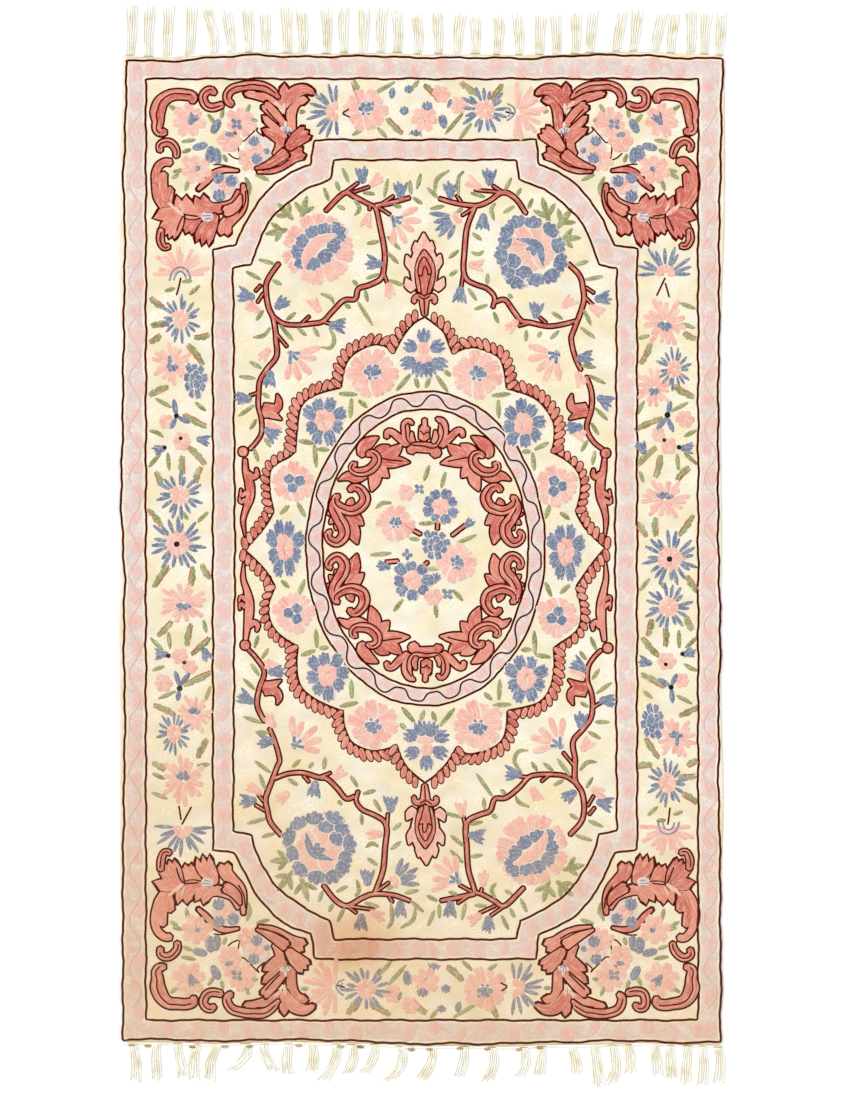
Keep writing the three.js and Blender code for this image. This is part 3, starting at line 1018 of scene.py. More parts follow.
@dataclass
class OvalBand:
    """The oval band round the wreath, with a wavy dark line and pale pink blobs in its troughs."""

    middle: tuple[float, float] = (425.5, 548.5)
    outer: tuple[float, float] = (119.5, 157)
    inner: tuple[float, float] = (103, 139.5)
    waves: int = 20
    swing: float = 5.5
    blob: tuple[float, float] = (7.2, 5.0)
    ring_points: int = 141
    ring_seam: float = 2.0  # angle at which a plain line starts and ends
    wave_points: int = 420
    wave_seam: float = 1.0  # the same for the wavy one

    def ring(self, radii: tuple[float, float]) -> np.ndarray:
        """A closed oval, clockwise on the cartoon."""
        angle = np.linspace(0, 2 * np.pi, self.ring_points) + self.ring_seam
        ring = np.stack([np.sin(angle) * radii[0], -np.cos(angle) * radii[1]], axis=1)
        return np.asarray(self.middle) + ring

    def wavy(self, angle: np.ndarray, swing: float) -> np.ndarray:
        """Points on the band's middle oval, moved in and out by a flattened sine wave of the angle."""
        wave = np.tanh(1.6 * np.sin(self.waves * angle)) * swing
        rx, ry = (np.mean(pair) for pair in zip(self.outer, self.inner))
        rings = np.stack([np.sin(angle) * (rx + wave), -np.cos(angle) * (ry + wave)], axis=1)
        return np.asarray(self.middle) + rings

    def sewn(self, work: Needlework) -> None:
        """Sews the band, its lines, the wavy line and the blobs, one in every trough on both sides."""
        outer, inner = self.ring(self.outer), self.ring(self.inner)
        work.sew("medallion", Wool.MAUVE, [band(outer, inner, TOPS[Wool.MAUVE])])
        wave = self.wavy(np.linspace(0, 2 * np.pi, self.wave_points) + self.wave_seam, self.swing)
        for line, half in ((outer, 1.1), (inner, 1.1), (wave, 0.9)):
            closed = np.concatenate([line, line[1:4]])
            shape = stroke(closed, half, TOPS[Wool.MAROON] + LINE_OVER, straight=True)
            work.sew("medallion", Wool.MAROON, [shape])
        angle = (np.arange(2 * self.waves) + 0.5) * np.pi / self.waves
        spots = self.wavy(angle, -self.swing * 0.6)
        blobs = [disc(spot, self.blob, TOPS[Wool.MAUVE] + 0.08, turn=turn, cells=8)
                 for spot, turn in zip(spots, np.degrees(angle))]
        work.sew("oval_band", Wool.PINK, [soft(blob) for blob in blobs])


def heading(degrees: float) -> np.ndarray:
    """The cartoon direction that many degrees clockwise from straight up."""
    return np.array([np.sin(np.radians(degrees)), -np.cos(np.radians(degrees))])


def petal(centre: Line, turn: float, reach: tuple[float, float], half: float, height: float, lobes: int = 1,
          notch: float = 0.0, slim: float = 0.5, tip: float = 0.92, grow: float = 0.0,
          seat: float = GROUND_MM) -> Patch:
    """A petal along a ray from a centre, widest near its outer end, which has scallops between notches.

    The outer end is pulled back by one less the sine's size of the column's share times the lobes.

    Args:
        centre: the flower's middle.
        turn: degrees clockwise from straight up.
        reach: where it starts and ends on the ray.
        half: its greatest half-width.
        height: top of the stitches in mm.
        lobes: number of scallops.
        notch: depth of the notches, as a share of the half-width.
        slim: half-width at its foot, as a share of the greatest.
        tip: the same at its outer end, low for a pointed one.
        grow: how far it is grown on all sides.
        seat: top of what it is sewn on in mm.
    """
    ray = heading(turn)
    start, end = (np.asarray(centre, dtype=float) + ray * r for r in reach)
    across = np.sort(np.concatenate([[-0.93, 0.93], np.linspace(-1, 1, 4 * lobes + 1)]))
    scallop = np.abs(np.sin(np.pi * (across + 1) / 2 * lobes))
    retreat = 1.2 * (1 - np.sqrt(1 - ROUND * across**2)) + notch * (1 - scallop)
    profile = np.array([slim, 0.5 * (1 + slim) + 0.1, 1.0, tip]) * half
    return stroke(np.stack([start, end]), profile, height, across=across, retreat=retreat, step=3.0,
                  grow=grow, seat=seat)


def leaf(line: Line, half: float, height: float, teeth: tuple[float, float] = (0.0, 0.0)) -> Patch:
    """A leaf of a few rows of stitches, pointed at its tip and blunt at its foot.

    It goes past both ends of its line by a twentieth of the segment there.
    """
    points = pairs(line)
    ends = 0.05 * (points[:1] - points[1:2]), 0.05 * (points[-1:] - points[-2:-1])
    longer = np.concatenate([points[:1] + ends[0], points[1:-1], points[-1:] + ends[1]])
    return stroke(longer, np.array([0.6, 0.95, 1.1, 1.0, 0.35]) * half, height, teeth=teeth)


@dataclass(frozen=True)
class Ring:
    """One ring of petals of a flower: wool, number, where they start and end, and their shape."""

    wool: Wool
    count: int
    inner: float
    outer: float
    fill: float = 0.84
    lobes: int = 1
    notch: float = 0.0
    slim: float = 0.5
    sweep: float = 360.0
    over: float = 0.0
    face: float = 0.0  # degrees clockwise that the ring's middle is turned from the flower's own top
    ragged: float = 0.07  # share of the reach by which the petals differ
    edge: float = 0.0  # breadth of a cream row round each petal
    tip: float = 0.92  # half-width of a petal's end, as a share of the greatest


class Bloom(Enum):
    """The flowers of the design, each a set of rings. Angles are about the flower's own top."""

    LOBE_PINK = (
        Ring(Wool.PINK, 10, 0.5, 26, 1.55, 2, 0.25, 0.6, edge=0.5),
        Ring(Wool.BLUE, 4, -3, 10.5, 1.75, 2, 0.2, 0.85, 190, 0.16, edge=0.5),
        Ring(Wool.BLUE, 2, -3, 7.5, 1.6, 1, 0, 0.9, 130, 0.14, 180, edge=0.5),
    )
    LOBE_BLUE = (
        Ring(Wool.BLUE, 8, 9, 25, 1.16, 3, 0.3, 0.85, edge=0.8),
        Ring(Wool.PINK, 7, 0.5, 12, 1.5, 1, 0, 0.9, over=0.16),
    )
    SIDE_PINK = (
        Ring(Wool.PINK, 9, 0.5, 22.5, 1.6, 2, 0.25, 0.6, edge=0.5),
        Ring(Wool.BLUE, 3, 0.6, 12, 0.85, 2, 0.15, 0.9, 360, 0.16, 60, edge=0.5),
    )
    HALF_PINK = (
        Ring(Wool.PINK, 5, 8, 27, 0.8, 1, 0, 0.5, 140, tip=0.7),
        Ring(Wool.BLUE, 3, -4, 9.5, 1.6, 1, 0, 0.9, 150, 0.1, edge=0.5),
    )
    HALF_BLUE = (
        Ring(Wool.BLUE, 5, 8.5, 27, 0.95, 1, 0, 0.5, 88, tip=0.4),
        Ring(Wool.PINK, 5, 0.5, 7, 1.4, 1, 0, 0.8, 200),
    )
    ASTER_BLUE = (
        Ring(Wool.BLUE, 17, 10, 24, 0.62, 1, 0, 0.6, ragged=0.14, tip=0.5),
        Ring(Wool.PINK, 9, 1, 12, 1, 1, 0, 0.7, over=0.06, ragged=0.12),
    )
    ASTER_BIG = (
        Ring(Wool.BLUE, 19, 11, 26, 0.64, 1, 0, 0.6, ragged=0.14, tip=0.5),
        Ring(Wool.PINK, 12, 1, 14, 1.1, 1, 0, 0.7, over=0.06, ragged=0.12),
    )
    ASTER_HALF = (
        Ring(Wool.BLUE, 11, 9, 27, 0.62, 1, 0, 0.6, 205, ragged=0.12, tip=0.5),
        Ring(Wool.PINK, 5, 1, 11, 1.1, 1, 0, 0.8, 220, over=0.06),
    )
    ASTER_PINK = (
        Ring(Wool.PINK, 16, 2, 23, 1, 1, 0, 0.5, ragged=0.15),
        Ring(Wool.BLUE, 4, 1, 9.5, 1.15, 1, 0, 0.8, 150, over=0.06),
    )
    ASTER_PINK_HALF = (Ring(Wool.PINK, 12, 3, 26, 1.0, 1, 0.0, 0.5, 200, ragged=0.14),)
    ROSETTE_PINK = (Ring(Wool.PINK, 7, 0.5, 15, 1.1, 2, 0.3, 0.7),)
    ROSETTE_BLUE = (
        Ring(Wool.BLUE, 8, 8, 19.5, 1.16, 2, 0.3, 0.8, edge=0.6),
        Ring(Wool.PINK, 6, 0.5, 9.5, 1.5, 1, 0, 0.9, over=0.16),
    )
    TUFT_BLUE = (
        Ring(Wool.BLUE, 9, 5, 17.5, 1.15, 2, 0.25, 0.8, edge=0.6),
        Ring(Wool.BLUE, 5, -1, 10, 1.5, 2, 0.2, 0.8, edge=0.6, over=0.14),
    )
    TULIP = (
        Ring(Wool.BLUE, 4, -2, 15, 1.95, 1, 0, 0.7, 72, tip=0.28, ragged=0.1),
        Ring(Wool.BLUE, 1, -3, 6.5, 1.95, 1, 0, 0.7, 90, over=0.02),
    )
    BUD = (
        Ring(Wool.PINK, 3, -2, 14, 1.7, 1, 0, 0.7, 66, tip=0.5, ragged=0.1),
        Ring(Wool.PINK, 1, -3, 6.5, 1.9, 1, 0, 0.7, 90, over=0.02),
    )
    CROSS = (Ring(Wool.BLUE, 4, 0.6, 6, 0.66, 1, 0.0, 0.7, over=0.12),)
    DAB_PINK = (Ring(Wool.PINK, 6, 0.4, 10, 1.3, 1, 0.0, 0.9),)

    def sewn(self, work: Needlework, area: str, centre: Line, turn: float = 0.0, size: float = 1.0,
             squash: tuple[float, float] = (1.0, 1.0)) -> None:
        """Sews the flower, its petals a little uneven by sine waves of their number.

        Args:
            work: the needlework.
            area: area of the rug.
            centre: its middle.
            turn: degrees clockwise that it faces from straight up.
            size: its size as a multiple of the recipe's.
            squash: stretch along x and y.
        """
        middle = np.asarray(centre, dtype=float)
        for layer, ring in enumerate(self.value):
            pitch = ring.sweep / ring.count
            first = turn + ring.face - ring.sweep / 2 + pitch / 2 + 11.0 * layer * (ring.sweep >= 360)
            breadth = np.radians(pitch) * (0.62 * ring.outer + 0.38 * ring.inner) / 2 * ring.fill * size
            for k in range(ring.count):
                uneven = np.sin(2.4 * k + 0.37 * middle[0] + 0.11 * middle[1] + layer)
                reach = (ring.inner * size, ring.outer * size * (1 + ring.ragged * uneven))
                top = TOPS[ring.wool] + ring.over + PETAL_MM * (k if ring.edge else k % 3)
                way = first + pitch * k + 30 * ring.ragged * uneven
                whole = partial(petal, (0.0, 0.0), way, reach, breadth, lobes=ring.lobes, notch=ring.notch,
                                slim=ring.slim, tip=ring.tip)
                layers = [(ring.wool, whole(height=top))]
                if ring.edge:
                    layers.append((Wool.CREAM, whole(height=top - UNDER_MM, grow=ring.edge)))
                for wool, shape in layers:
                    place = shape.place.copy()
                    place[..., :2] = place[..., :2] * squash + middle
                    work.sew(area, wool, [Patch(place, shape.stitch, shape.rim)])


# A Bloom, x and y, and where they differ from the usual, its turn, size, and stretch along x and along y.
Flower = tuple[Bloom | float, ...]


def sew_flowers(work: Needlework, area: str, flowers: Iterable[Flower], twins: bool = True) -> None:
    """Sews rows of flowers, and their twins turned by half a turn.

    Args:
        work: the needlework.
        area: area of the rug.
        flowers: a Bloom, x and y, then a turn, a size and stretches where they differ from 0 and 1.
        twins: whether the turned twins are sewn too.
    """
    for kind, x, y, *rest in flowers:
        turn, size, wide, tall = (*rest, *(0.0, 1.0, 1.0, 1.0)[len(rest):])
        kind.sewn(work, area, (x, y), turn, size, (wide, tall))
        if twins:
            kind.sewn(work, area, turned((x, y))[0], turn + 180, size, (wide, tall))


def sew_leaves(work: Needlework, area: str, half: float, lines: Iterable[Line], twins: bool = True,
               edged: bool = False) -> None:
    """Sews a green leaf along every line, and its twin turned by half a turn.

    Args:
        work: the needlework.
        area: area of the rug.
        half: half-breadth of a leaf.
        lines: from the foot to the tip.
        twins: whether the turned twins are sewn too.
        edged: whether the leaves are jagged, with a thin red row along one side.
    """
    for k, line in enumerate(lines):
        for way in both(line)[: 1 + twins]:
            work.sew(area, Wool.GREEN, [leaf(way, half, TOPS[Wool.GREEN], (3, 0.4) if edged else (0, 0))])
            if edged:
                row = beside(way, half * (0.7 if k % 2 else -0.7))
                thin = stroke(row, 0.6, TOPS[Wool.GREEN] + OVERLAY_MM, tint=0.0, step=3.0)
                work.sew(area, Wool.CORAL, [thin])


def sew_branches(work: Needlework, area: str, halves: float | Sequence[float], lines: Iterable[Line],
                 twins: bool = True, over: float = 0.0, **how: object) -> None:
    """Sews outlined coral along every line, and its twin turned by half a turn."""
    for line in lines:
        for way in both(line)[: 1 + twins]:
            work.ringed(area, Wool.CORAL, partial(stroke, way, halves, **how), over)


Scroll = tuple[Sequence[float], Line]  # half-widths at even stations, and a line
# Level, fingers, depth of the notches, half-widths at even stations, and a line from foot to tip.
Frond = tuple[int, int, float, Sequence[float], Line]
Leaf = tuple[float, Line]  # greatest half-width, and a line from foot to tip


def sew_fronds(work: Needlework, area: str, fronds: Iterable[Frond], wool: Wool = Wool.CORAL) -> None:
    """Sews outlined fronds and their twins turned by half a turn.

    Fronds of one level run into one another; a higher one shows its dark row over the lower ones. One without
    fingers has a round end.
    """
    for k, (level, fingers, notch, halves, line) in enumerate(fronds):
        seat = TOPS[Wool.MAROON] + LEVEL_MM * level + 0.004 * (k % 6)
        for way in both(line):
            shape = partial(frond, way, halves, fingers, notch) if fingers else partial(stroke, way, halves)
            work.sew(area, Wool.MAROON, [shape(height=seat, grow=OUTLINE)])
            work.sew(area, wool, [shape(height=seat + FILL_MM, seat=seat)])


def sew_scrolls(work: Needlework, area: str, scrolls: Iterable[Scroll]) -> None:
    """Sews outlined coral scrolls over the feet of their leaves, and their twins turned by half a turn.

    Each has a paler band along its outer bend, past a dark row. The outer bend is on the left where the line
    turns to the right as a whole, which the sum of its corners' cross products tells.

    Args:
        work: the needlework.
        area: area of the rug.
        scrolls: half-widths at even stations and a line of each.
    """
    for halves, line in scrolls:
        middle = float(np.median(halves))
        for way in both(line):
            work.ringed(area, Wool.CORAL, partial(stroke, way, halves, tint=0.15), SCROLL_OVER)
            steps = np.diff(way, axis=0)
            side = np.sign(np.sum(steps[:-1, 0] * steps[1:, 1] - steps[:-1, 1] * steps[1:, 0]))
            top = TOPS[Wool.CORAL] + SCROLL_OVER
            for away, half, wool, lift in (
                (0.5, 0.3 * middle, Wool.CORAL, 0.5 * OVERLAY_MM),
                (0.16, VEIN_HALF, Wool.MAROON, OVERLAY_MM),
            ):
                curve = beside(way, side * away * middle)
                trimmed = curve[len(curve) // 8 : -max(1, len(curve) // 12)]
                work.sew(area, wool, [stroke(trimmed, half, top + lift, seat=top, tint=1.0)])


@dataclass
class FieldGarden:
    """The flowering branches round the medallion: half of them drawn, the others turned from them."""

    branch_half: tuple[float, ...] = (1.5, 1.7, 1.5, 1.3)
    twig_half: float = 0.8
    leaf_half: float = 2.2
    branches: Lines = (
        (375, 207, 377, 212.5, 381, 229, 384, 252, 384.4, 270, 380.6, 279, 369, 285, 359, 289, 355, 300,
         343.6, 300.5, 331, 312, 322, 322, 311.7, 324, 296.4, 324.7, 283.7, 323.5, 274, 317),
        (325, 212, 344.6, 193, 354, 197, 367, 204, 375, 207.4), (375, 206, 389, 202.6, 410, 198),
        (280, 263.5, 269.6, 276, 266, 285, 266.5, 297, 269, 308, 274, 318.4, 275.4, 332.4, 275.5, 340,
         277, 357, 267, 369.5, 259.4, 381, 258, 393, 258.7, 406, 262, 418.6, 261.5, 432.6, 256, 442.4,
         249, 449.4),
        (527, 214.6, 515, 199.4, 502.5, 193, 488, 201, 475.4, 205.8, 456.3, 203.4, 439.5, 198),
        (475, 206, 472, 214, 467, 229, 464.5, 252, 463.3, 270, 467, 279, 476, 284, 487.5, 289, 494, 298,
         492, 308),
        (495, 302, 504, 300.5, 513, 310.7, 522, 321, 531, 322, 547.4, 326, 562.8, 324.7, 575.5, 321),
        (568, 263.5, 579.3, 276, 583, 288, 584, 300.5, 578, 318.4, 573, 332.4, 571, 340, 575, 358,
         580.7, 371),
        (585.7, 376.5, 592, 393, 590.6, 410, 586.4, 427, 593.4, 441, 602, 449.4),
    )
    twigs: Lines = (
        (384, 272, 387, 284), (322, 322, 331, 323.5), (301.5, 323.5, 309, 317), (344.6, 193, 359, 183.5),
        (354, 193, 370, 186.7), (380, 205, 393, 195.5), (378, 207.4, 391, 214.6), (369, 206, 369, 211),
        (260.7, 285, 255, 292), (263, 293, 257, 303), (274.7, 332.4, 287.4, 347), (258, 392, 249.6, 396),
        (502.5, 193, 493, 186), (502.5, 193, 475.4, 190), (461, 202.6, 457, 196), (474, 208, 461, 216),
        (531, 322, 518.7, 326.7), (463.3, 272.4, 462, 286.5), (546, 323, 540, 317),
        (585.7, 288, 594.6, 294), (585.7, 297, 592.7, 305.6),
    )
    side_leaves: tuple[Frond, ...] = (
        (0, 0, 0, (1.7, 2.8, 4.3, 4, 2.6, 1.7, 0.4),
         (245.6, 641, 246.6, 629, 249.2, 615, 249.4, 602, 246.4, 590, 243.4, 578, 244.6, 563)),
        (0, 0, 0, (3.2, 3, 2.4, 0.9), (247.4, 627, 252.6, 622.4, 257, 624.4, 256.4, 631)),
        (0, 0, 0, (2.2, 1.7, 0.4), (247, 608, 241, 603, 240.4, 610)),
        (0, 0, 0, (2.2, 1.7, 0.4), (247, 600, 240.6, 596.4, 239.4, 602.6)),
        (0, 0, 0, (6.6, 5, 4, 2.8, 0.3), (262, 689, 270, 690, 277.4, 691.6, 279.4, 698, 277.2, 705)),
        (0, 0, 0, (5.4, 4, 0.3), (262, 687, 271, 686, 281.4, 679.6)),
    )
    balls: Line = (243, 451, 605, 453.7)
    ball_radius: float = 4.6
    leaves: Lines = (
        (342, 169, 349, 183), (336, 181, 340, 191), (324, 188, 329, 201), (337, 205, 345, 209),
        (354, 200, 359, 209, 354, 216), (363, 193, 375, 194), (388, 179, 384, 197), (410, 181, 411, 195),
        (421, 174, 416, 189), (413, 198, 423, 204), (393, 205, 402, 207), (367, 244, 379, 242),
        (387, 237, 400, 249), (387, 253, 399, 264), (367, 278, 380, 274), (389, 281, 404, 286),
        (353, 281, 358, 285), (365, 290, 367, 302), (358, 303, 373, 325), (321, 293, 331, 297, 334, 304),
        (344, 304, 350, 309), (296, 313, 286, 320), (280, 325, 293, 340), (297, 328, 307, 336),
        (313, 328, 319, 337), (329, 327, 335, 338, 331, 348, 321, 348), (270, 328, 263, 336, 253, 337),
        (264, 311, 257, 321), (247, 272, 261, 279), (272, 280, 281, 285), (259, 259, 275, 264),
        (250, 361, 262, 368), (240, 377, 255, 378), (262, 393, 270, 397), (254, 406, 239, 416),
        (257, 420, 250, 430), (264, 439, 271, 448), (254, 449, 259, 462), (449, 171, 437, 179, 435, 193),
        (463, 171, 458, 179, 459, 196), (427, 188, 439, 198), (431, 209, 445, 206), (456, 213, 463, 209),
        (471, 193, 485, 197), (512, 178, 505, 191), (521, 188, 516, 196), (532, 198, 528, 209),
        (514, 207, 503, 213), (495, 203, 491, 209, 494, 220), (473, 234, 482, 241), (459, 250, 449, 258),
        (471, 252, 478, 255, 484, 251), (457, 270, 449, 276), (488, 274, 488, 285), (469, 288, 476, 300),
        (487, 305, 474, 309), (493, 312, 499, 323), (508, 294, 512, 299), (552, 313, 562, 320),
        (584, 310, 591, 325), (580, 327, 595, 338), (526, 330, 525, 342), (541, 331, 537, 337),
        (558, 331, 550, 339), (575, 265, 588, 262), (585, 280, 603, 276), (581, 366, 595, 367),
        (589, 376, 606, 383), (595, 409, 607, 420), (591, 423, 599, 435), (588, 440, 581, 451),
        (595, 451, 592, 464),
    )
    forked_leaves: Lines = (
        (293, 219, 278, 204), (301, 219, 307, 197), (287, 230, 266, 234), (549, 223, 542, 198),
        (557, 228, 572, 209), (558, 239, 580, 238),
    )
    tulips: Rows = (  # x, y and heading
        (362, 181, 0), (400, 196, 0), (252, 297, -80), (276, 307, 55), (380, 264, -85), (331, 325, 90),
        (270, 373, 185), (249, 399, -85), (266, 430, 120), (489, 183, 0), (450, 196, 0), (483, 216, 180),
        (596, 299, 80), (535, 316, 5), (460, 289, 180), (578, 358, 85), (599, 398, 115), (580, 427, -95),
    )
    buds: Rows = (  # x, y and heading
        (371, 184, 55), (368, 215, 190), (318, 310, -30), (257, 310, -60), (388, 285, 170),
        (268, 350, -140), (268, 423, 130), (478, 187, -60), (470, 265, 90), (563, 306, 50), (591, 307, 120),
        (516, 322, -130), (577, 374, 150), (573, 432, 110),
    )
    flowers: tuple[Flower, ...] = (
        (Bloom.HALF_PINK, 393, 219, 122), (Bloom.HALF_BLUE, 458, 217, -120),
        (Bloom.HALF_PINK, 290.6, 354, 132, 1.05), (Bloom.HALF_PINK, 556, 354, -130, 1.05),
    )
    big_grounds: Rows = (  # a flower's middle, then number, reach and breadth of its petals
        (318, 249.5, 14, 12, 37, 8.6), (532, 248, 10, 3, 25, 8.4),
    )
    big_petals: Rows = (  # x, y, heading and half-breadth
        (300.6, 263, 205, 4.8), (298, 251.6, 262, 6.6), (302.4, 240.4, 300, 6.2), (312.4, 231.8, 335, 6.6),
        (325, 229.8, 0, 6.4), (339, 231.6, 62, 8.8), (334.6, 246.2, 110, 6.8), (325, 257, 140, 7),
        (312.4, 263.4, 172, 7), (516.6, 222, 335, 8.2), (533.4, 222, 5, 7.6), (550.2, 229.5, 45, 7.6),
        (558.3, 245.2, 75, 7), (561, 263.1, 105, 8.4), (551.2, 276.7, 150, 8), (535.5, 280.5, 178, 7.6),
        (523.6, 272.3, 190, 7.2), (514.9, 282.1, 205, 8.4), (507.9, 270.2, 235, 7),
        (513.3, 260.4, 215, 6.8), (500.3, 255, 265, 9), (504.6, 240.4, 285, 7.2), (507, 231.4, 305, 6.4),
    )
    big_hearts: tuple[tuple[Wool, tuple[float, ...], Line], ...] = (
        (Wool.PINK, (0.8, 4.6, 6.6, 6.8, 4.4, 1),
         (303.8, 268.4, 307, 257.6, 314.4, 247, 322, 241, 330, 237.4, 337, 235.6)),
        (Wool.BLUE, (0.6, 2.8, 4.2, 4.2, 3.4, 0.6),
         (515.6, 239, 527, 241.4, 537, 245.4, 541.4, 254, 543.6, 267)),
        (Wool.BLUE, (1.4, 3.2, 3.6, 2.4), (525, 250.6, 530, 248.6, 533.4, 251.6, 532.6, 256.6)),
    )

    def sewn(self, work: Needlework) -> None:
        """Sews everything between the medallion and the stepped band."""
        sew_branches(work, "field", self.branch_half, self.branches, tint=0.08)
        sew_branches(work, "field", self.twig_half, self.twigs, tint=0.08)
        for copy in (pairs, lambda line: turned(mirrored(line))):
            sew_fronds(work, "field", [(*shape, copy(line)) for *shape, line in self.side_leaves])
        for (spot,) in twinned(pairs(self.balls)):
            ball = partial(disc, spot, (self.ball_radius, self.ball_radius))
            work.sew("field", Wool.MAROON, [ball(TOPS[Wool.MAROON] + 0.05, grow=OUTLINE)])
            work.sew("field", Wool.CORAL, [ball(TOPS[Wool.CORAL] + 0.05)])
        sew_leaves(work, "field", self.leaf_half, self.leaves)
        for line in self.forked_leaves:
            self.forked_leaf(work, line)
        sew_flowers(work, "field", [(Bloom.TULIP, *tulip) for tulip in self.tulips])
        sew_flowers(work, "field", [(Bloom.BUD, *bud) for bud in self.buds])
        sew_flowers(work, "field", self.flowers)
        self.big_flowers(work)

    def forked_leaf(self, work: Needlework, line: Line) -> None:
        """A leaf of three lobes, the side ones turned by 52 degrees from a quarter of its length."""
        foot, tip = pairs(line)
        way = tip - foot
        sides = [(np.stack([foot + 0.25 * way, foot + 0.3 * way + 0.55 * spun(way, turn)]), 2.6)
                 for turn in (-52, 52)]
        for points, half in ((np.stack([foot, tip]), 3.2), *sides):
            leaves = [leaf(twin, half, TOPS[Wool.GREEN]) for twin in both(points)]
            work.sew("field", Wool.GREEN, leaves)

    def big_flowers(self, work: Needlework) -> None:
        """The big flowers: a ground of broad pink petals, blue ones with cream edges, and curved hearts."""
        for x, y, count, *reach, half in self.big_grounds:
            for (middle,), way in zip(both((x, y)), (0, 180)):
                for k in range(count):
                    turn = 360 / count * k + way + 3 * np.sin(3.0 * k)
                    top = TOPS[Wool.PINK] - 0.06 + PETAL_MM * (k % 5)
                    shape = partial(petal, middle, turn, reach, half, lobes=2, notch=0.25, slim=0.66)
                    work.edged("field", Wool.PINK, shape, top, 0.5)
        for k, (*spot, turn, half) in enumerate(self.big_petals):
            for (middle,), way in zip(both(spot), (0, 180)):
                shape = partial(petal, middle, turn + way, (-7.2, 7.6), 1.55 * half, lobes=3, notch=0.22,
                                slim=0.9)
                work.edged("field", Wool.BLUE, shape, TOPS[Wool.BLUE] + 0.01 * (k % 12), 0.8)
        for k, (wool, halves, line) in enumerate(self.big_hearts):
            seat = TOPS[Wool.BLUE] + OVERLAY_MM + 2 * FILL_MM * k
            for way in both(line):
                work.sew("field", Wool.CREAM, [stroke(way, halves, seat, grow=0.8)])
                work.sew("field", wool, [stroke(way, halves, seat + FILL_MM, seat=seat)])


def spun(way: np.ndarray, degrees: float) -> np.ndarray:
    """A cartoon direction turned clockwise by that many degrees."""
    c, s = np.cos(np.radians(degrees)), np.sin(np.radians(degrees))
    return np.array([way[0] * c - way[1] * s, way[0] * s + way[1] * c])


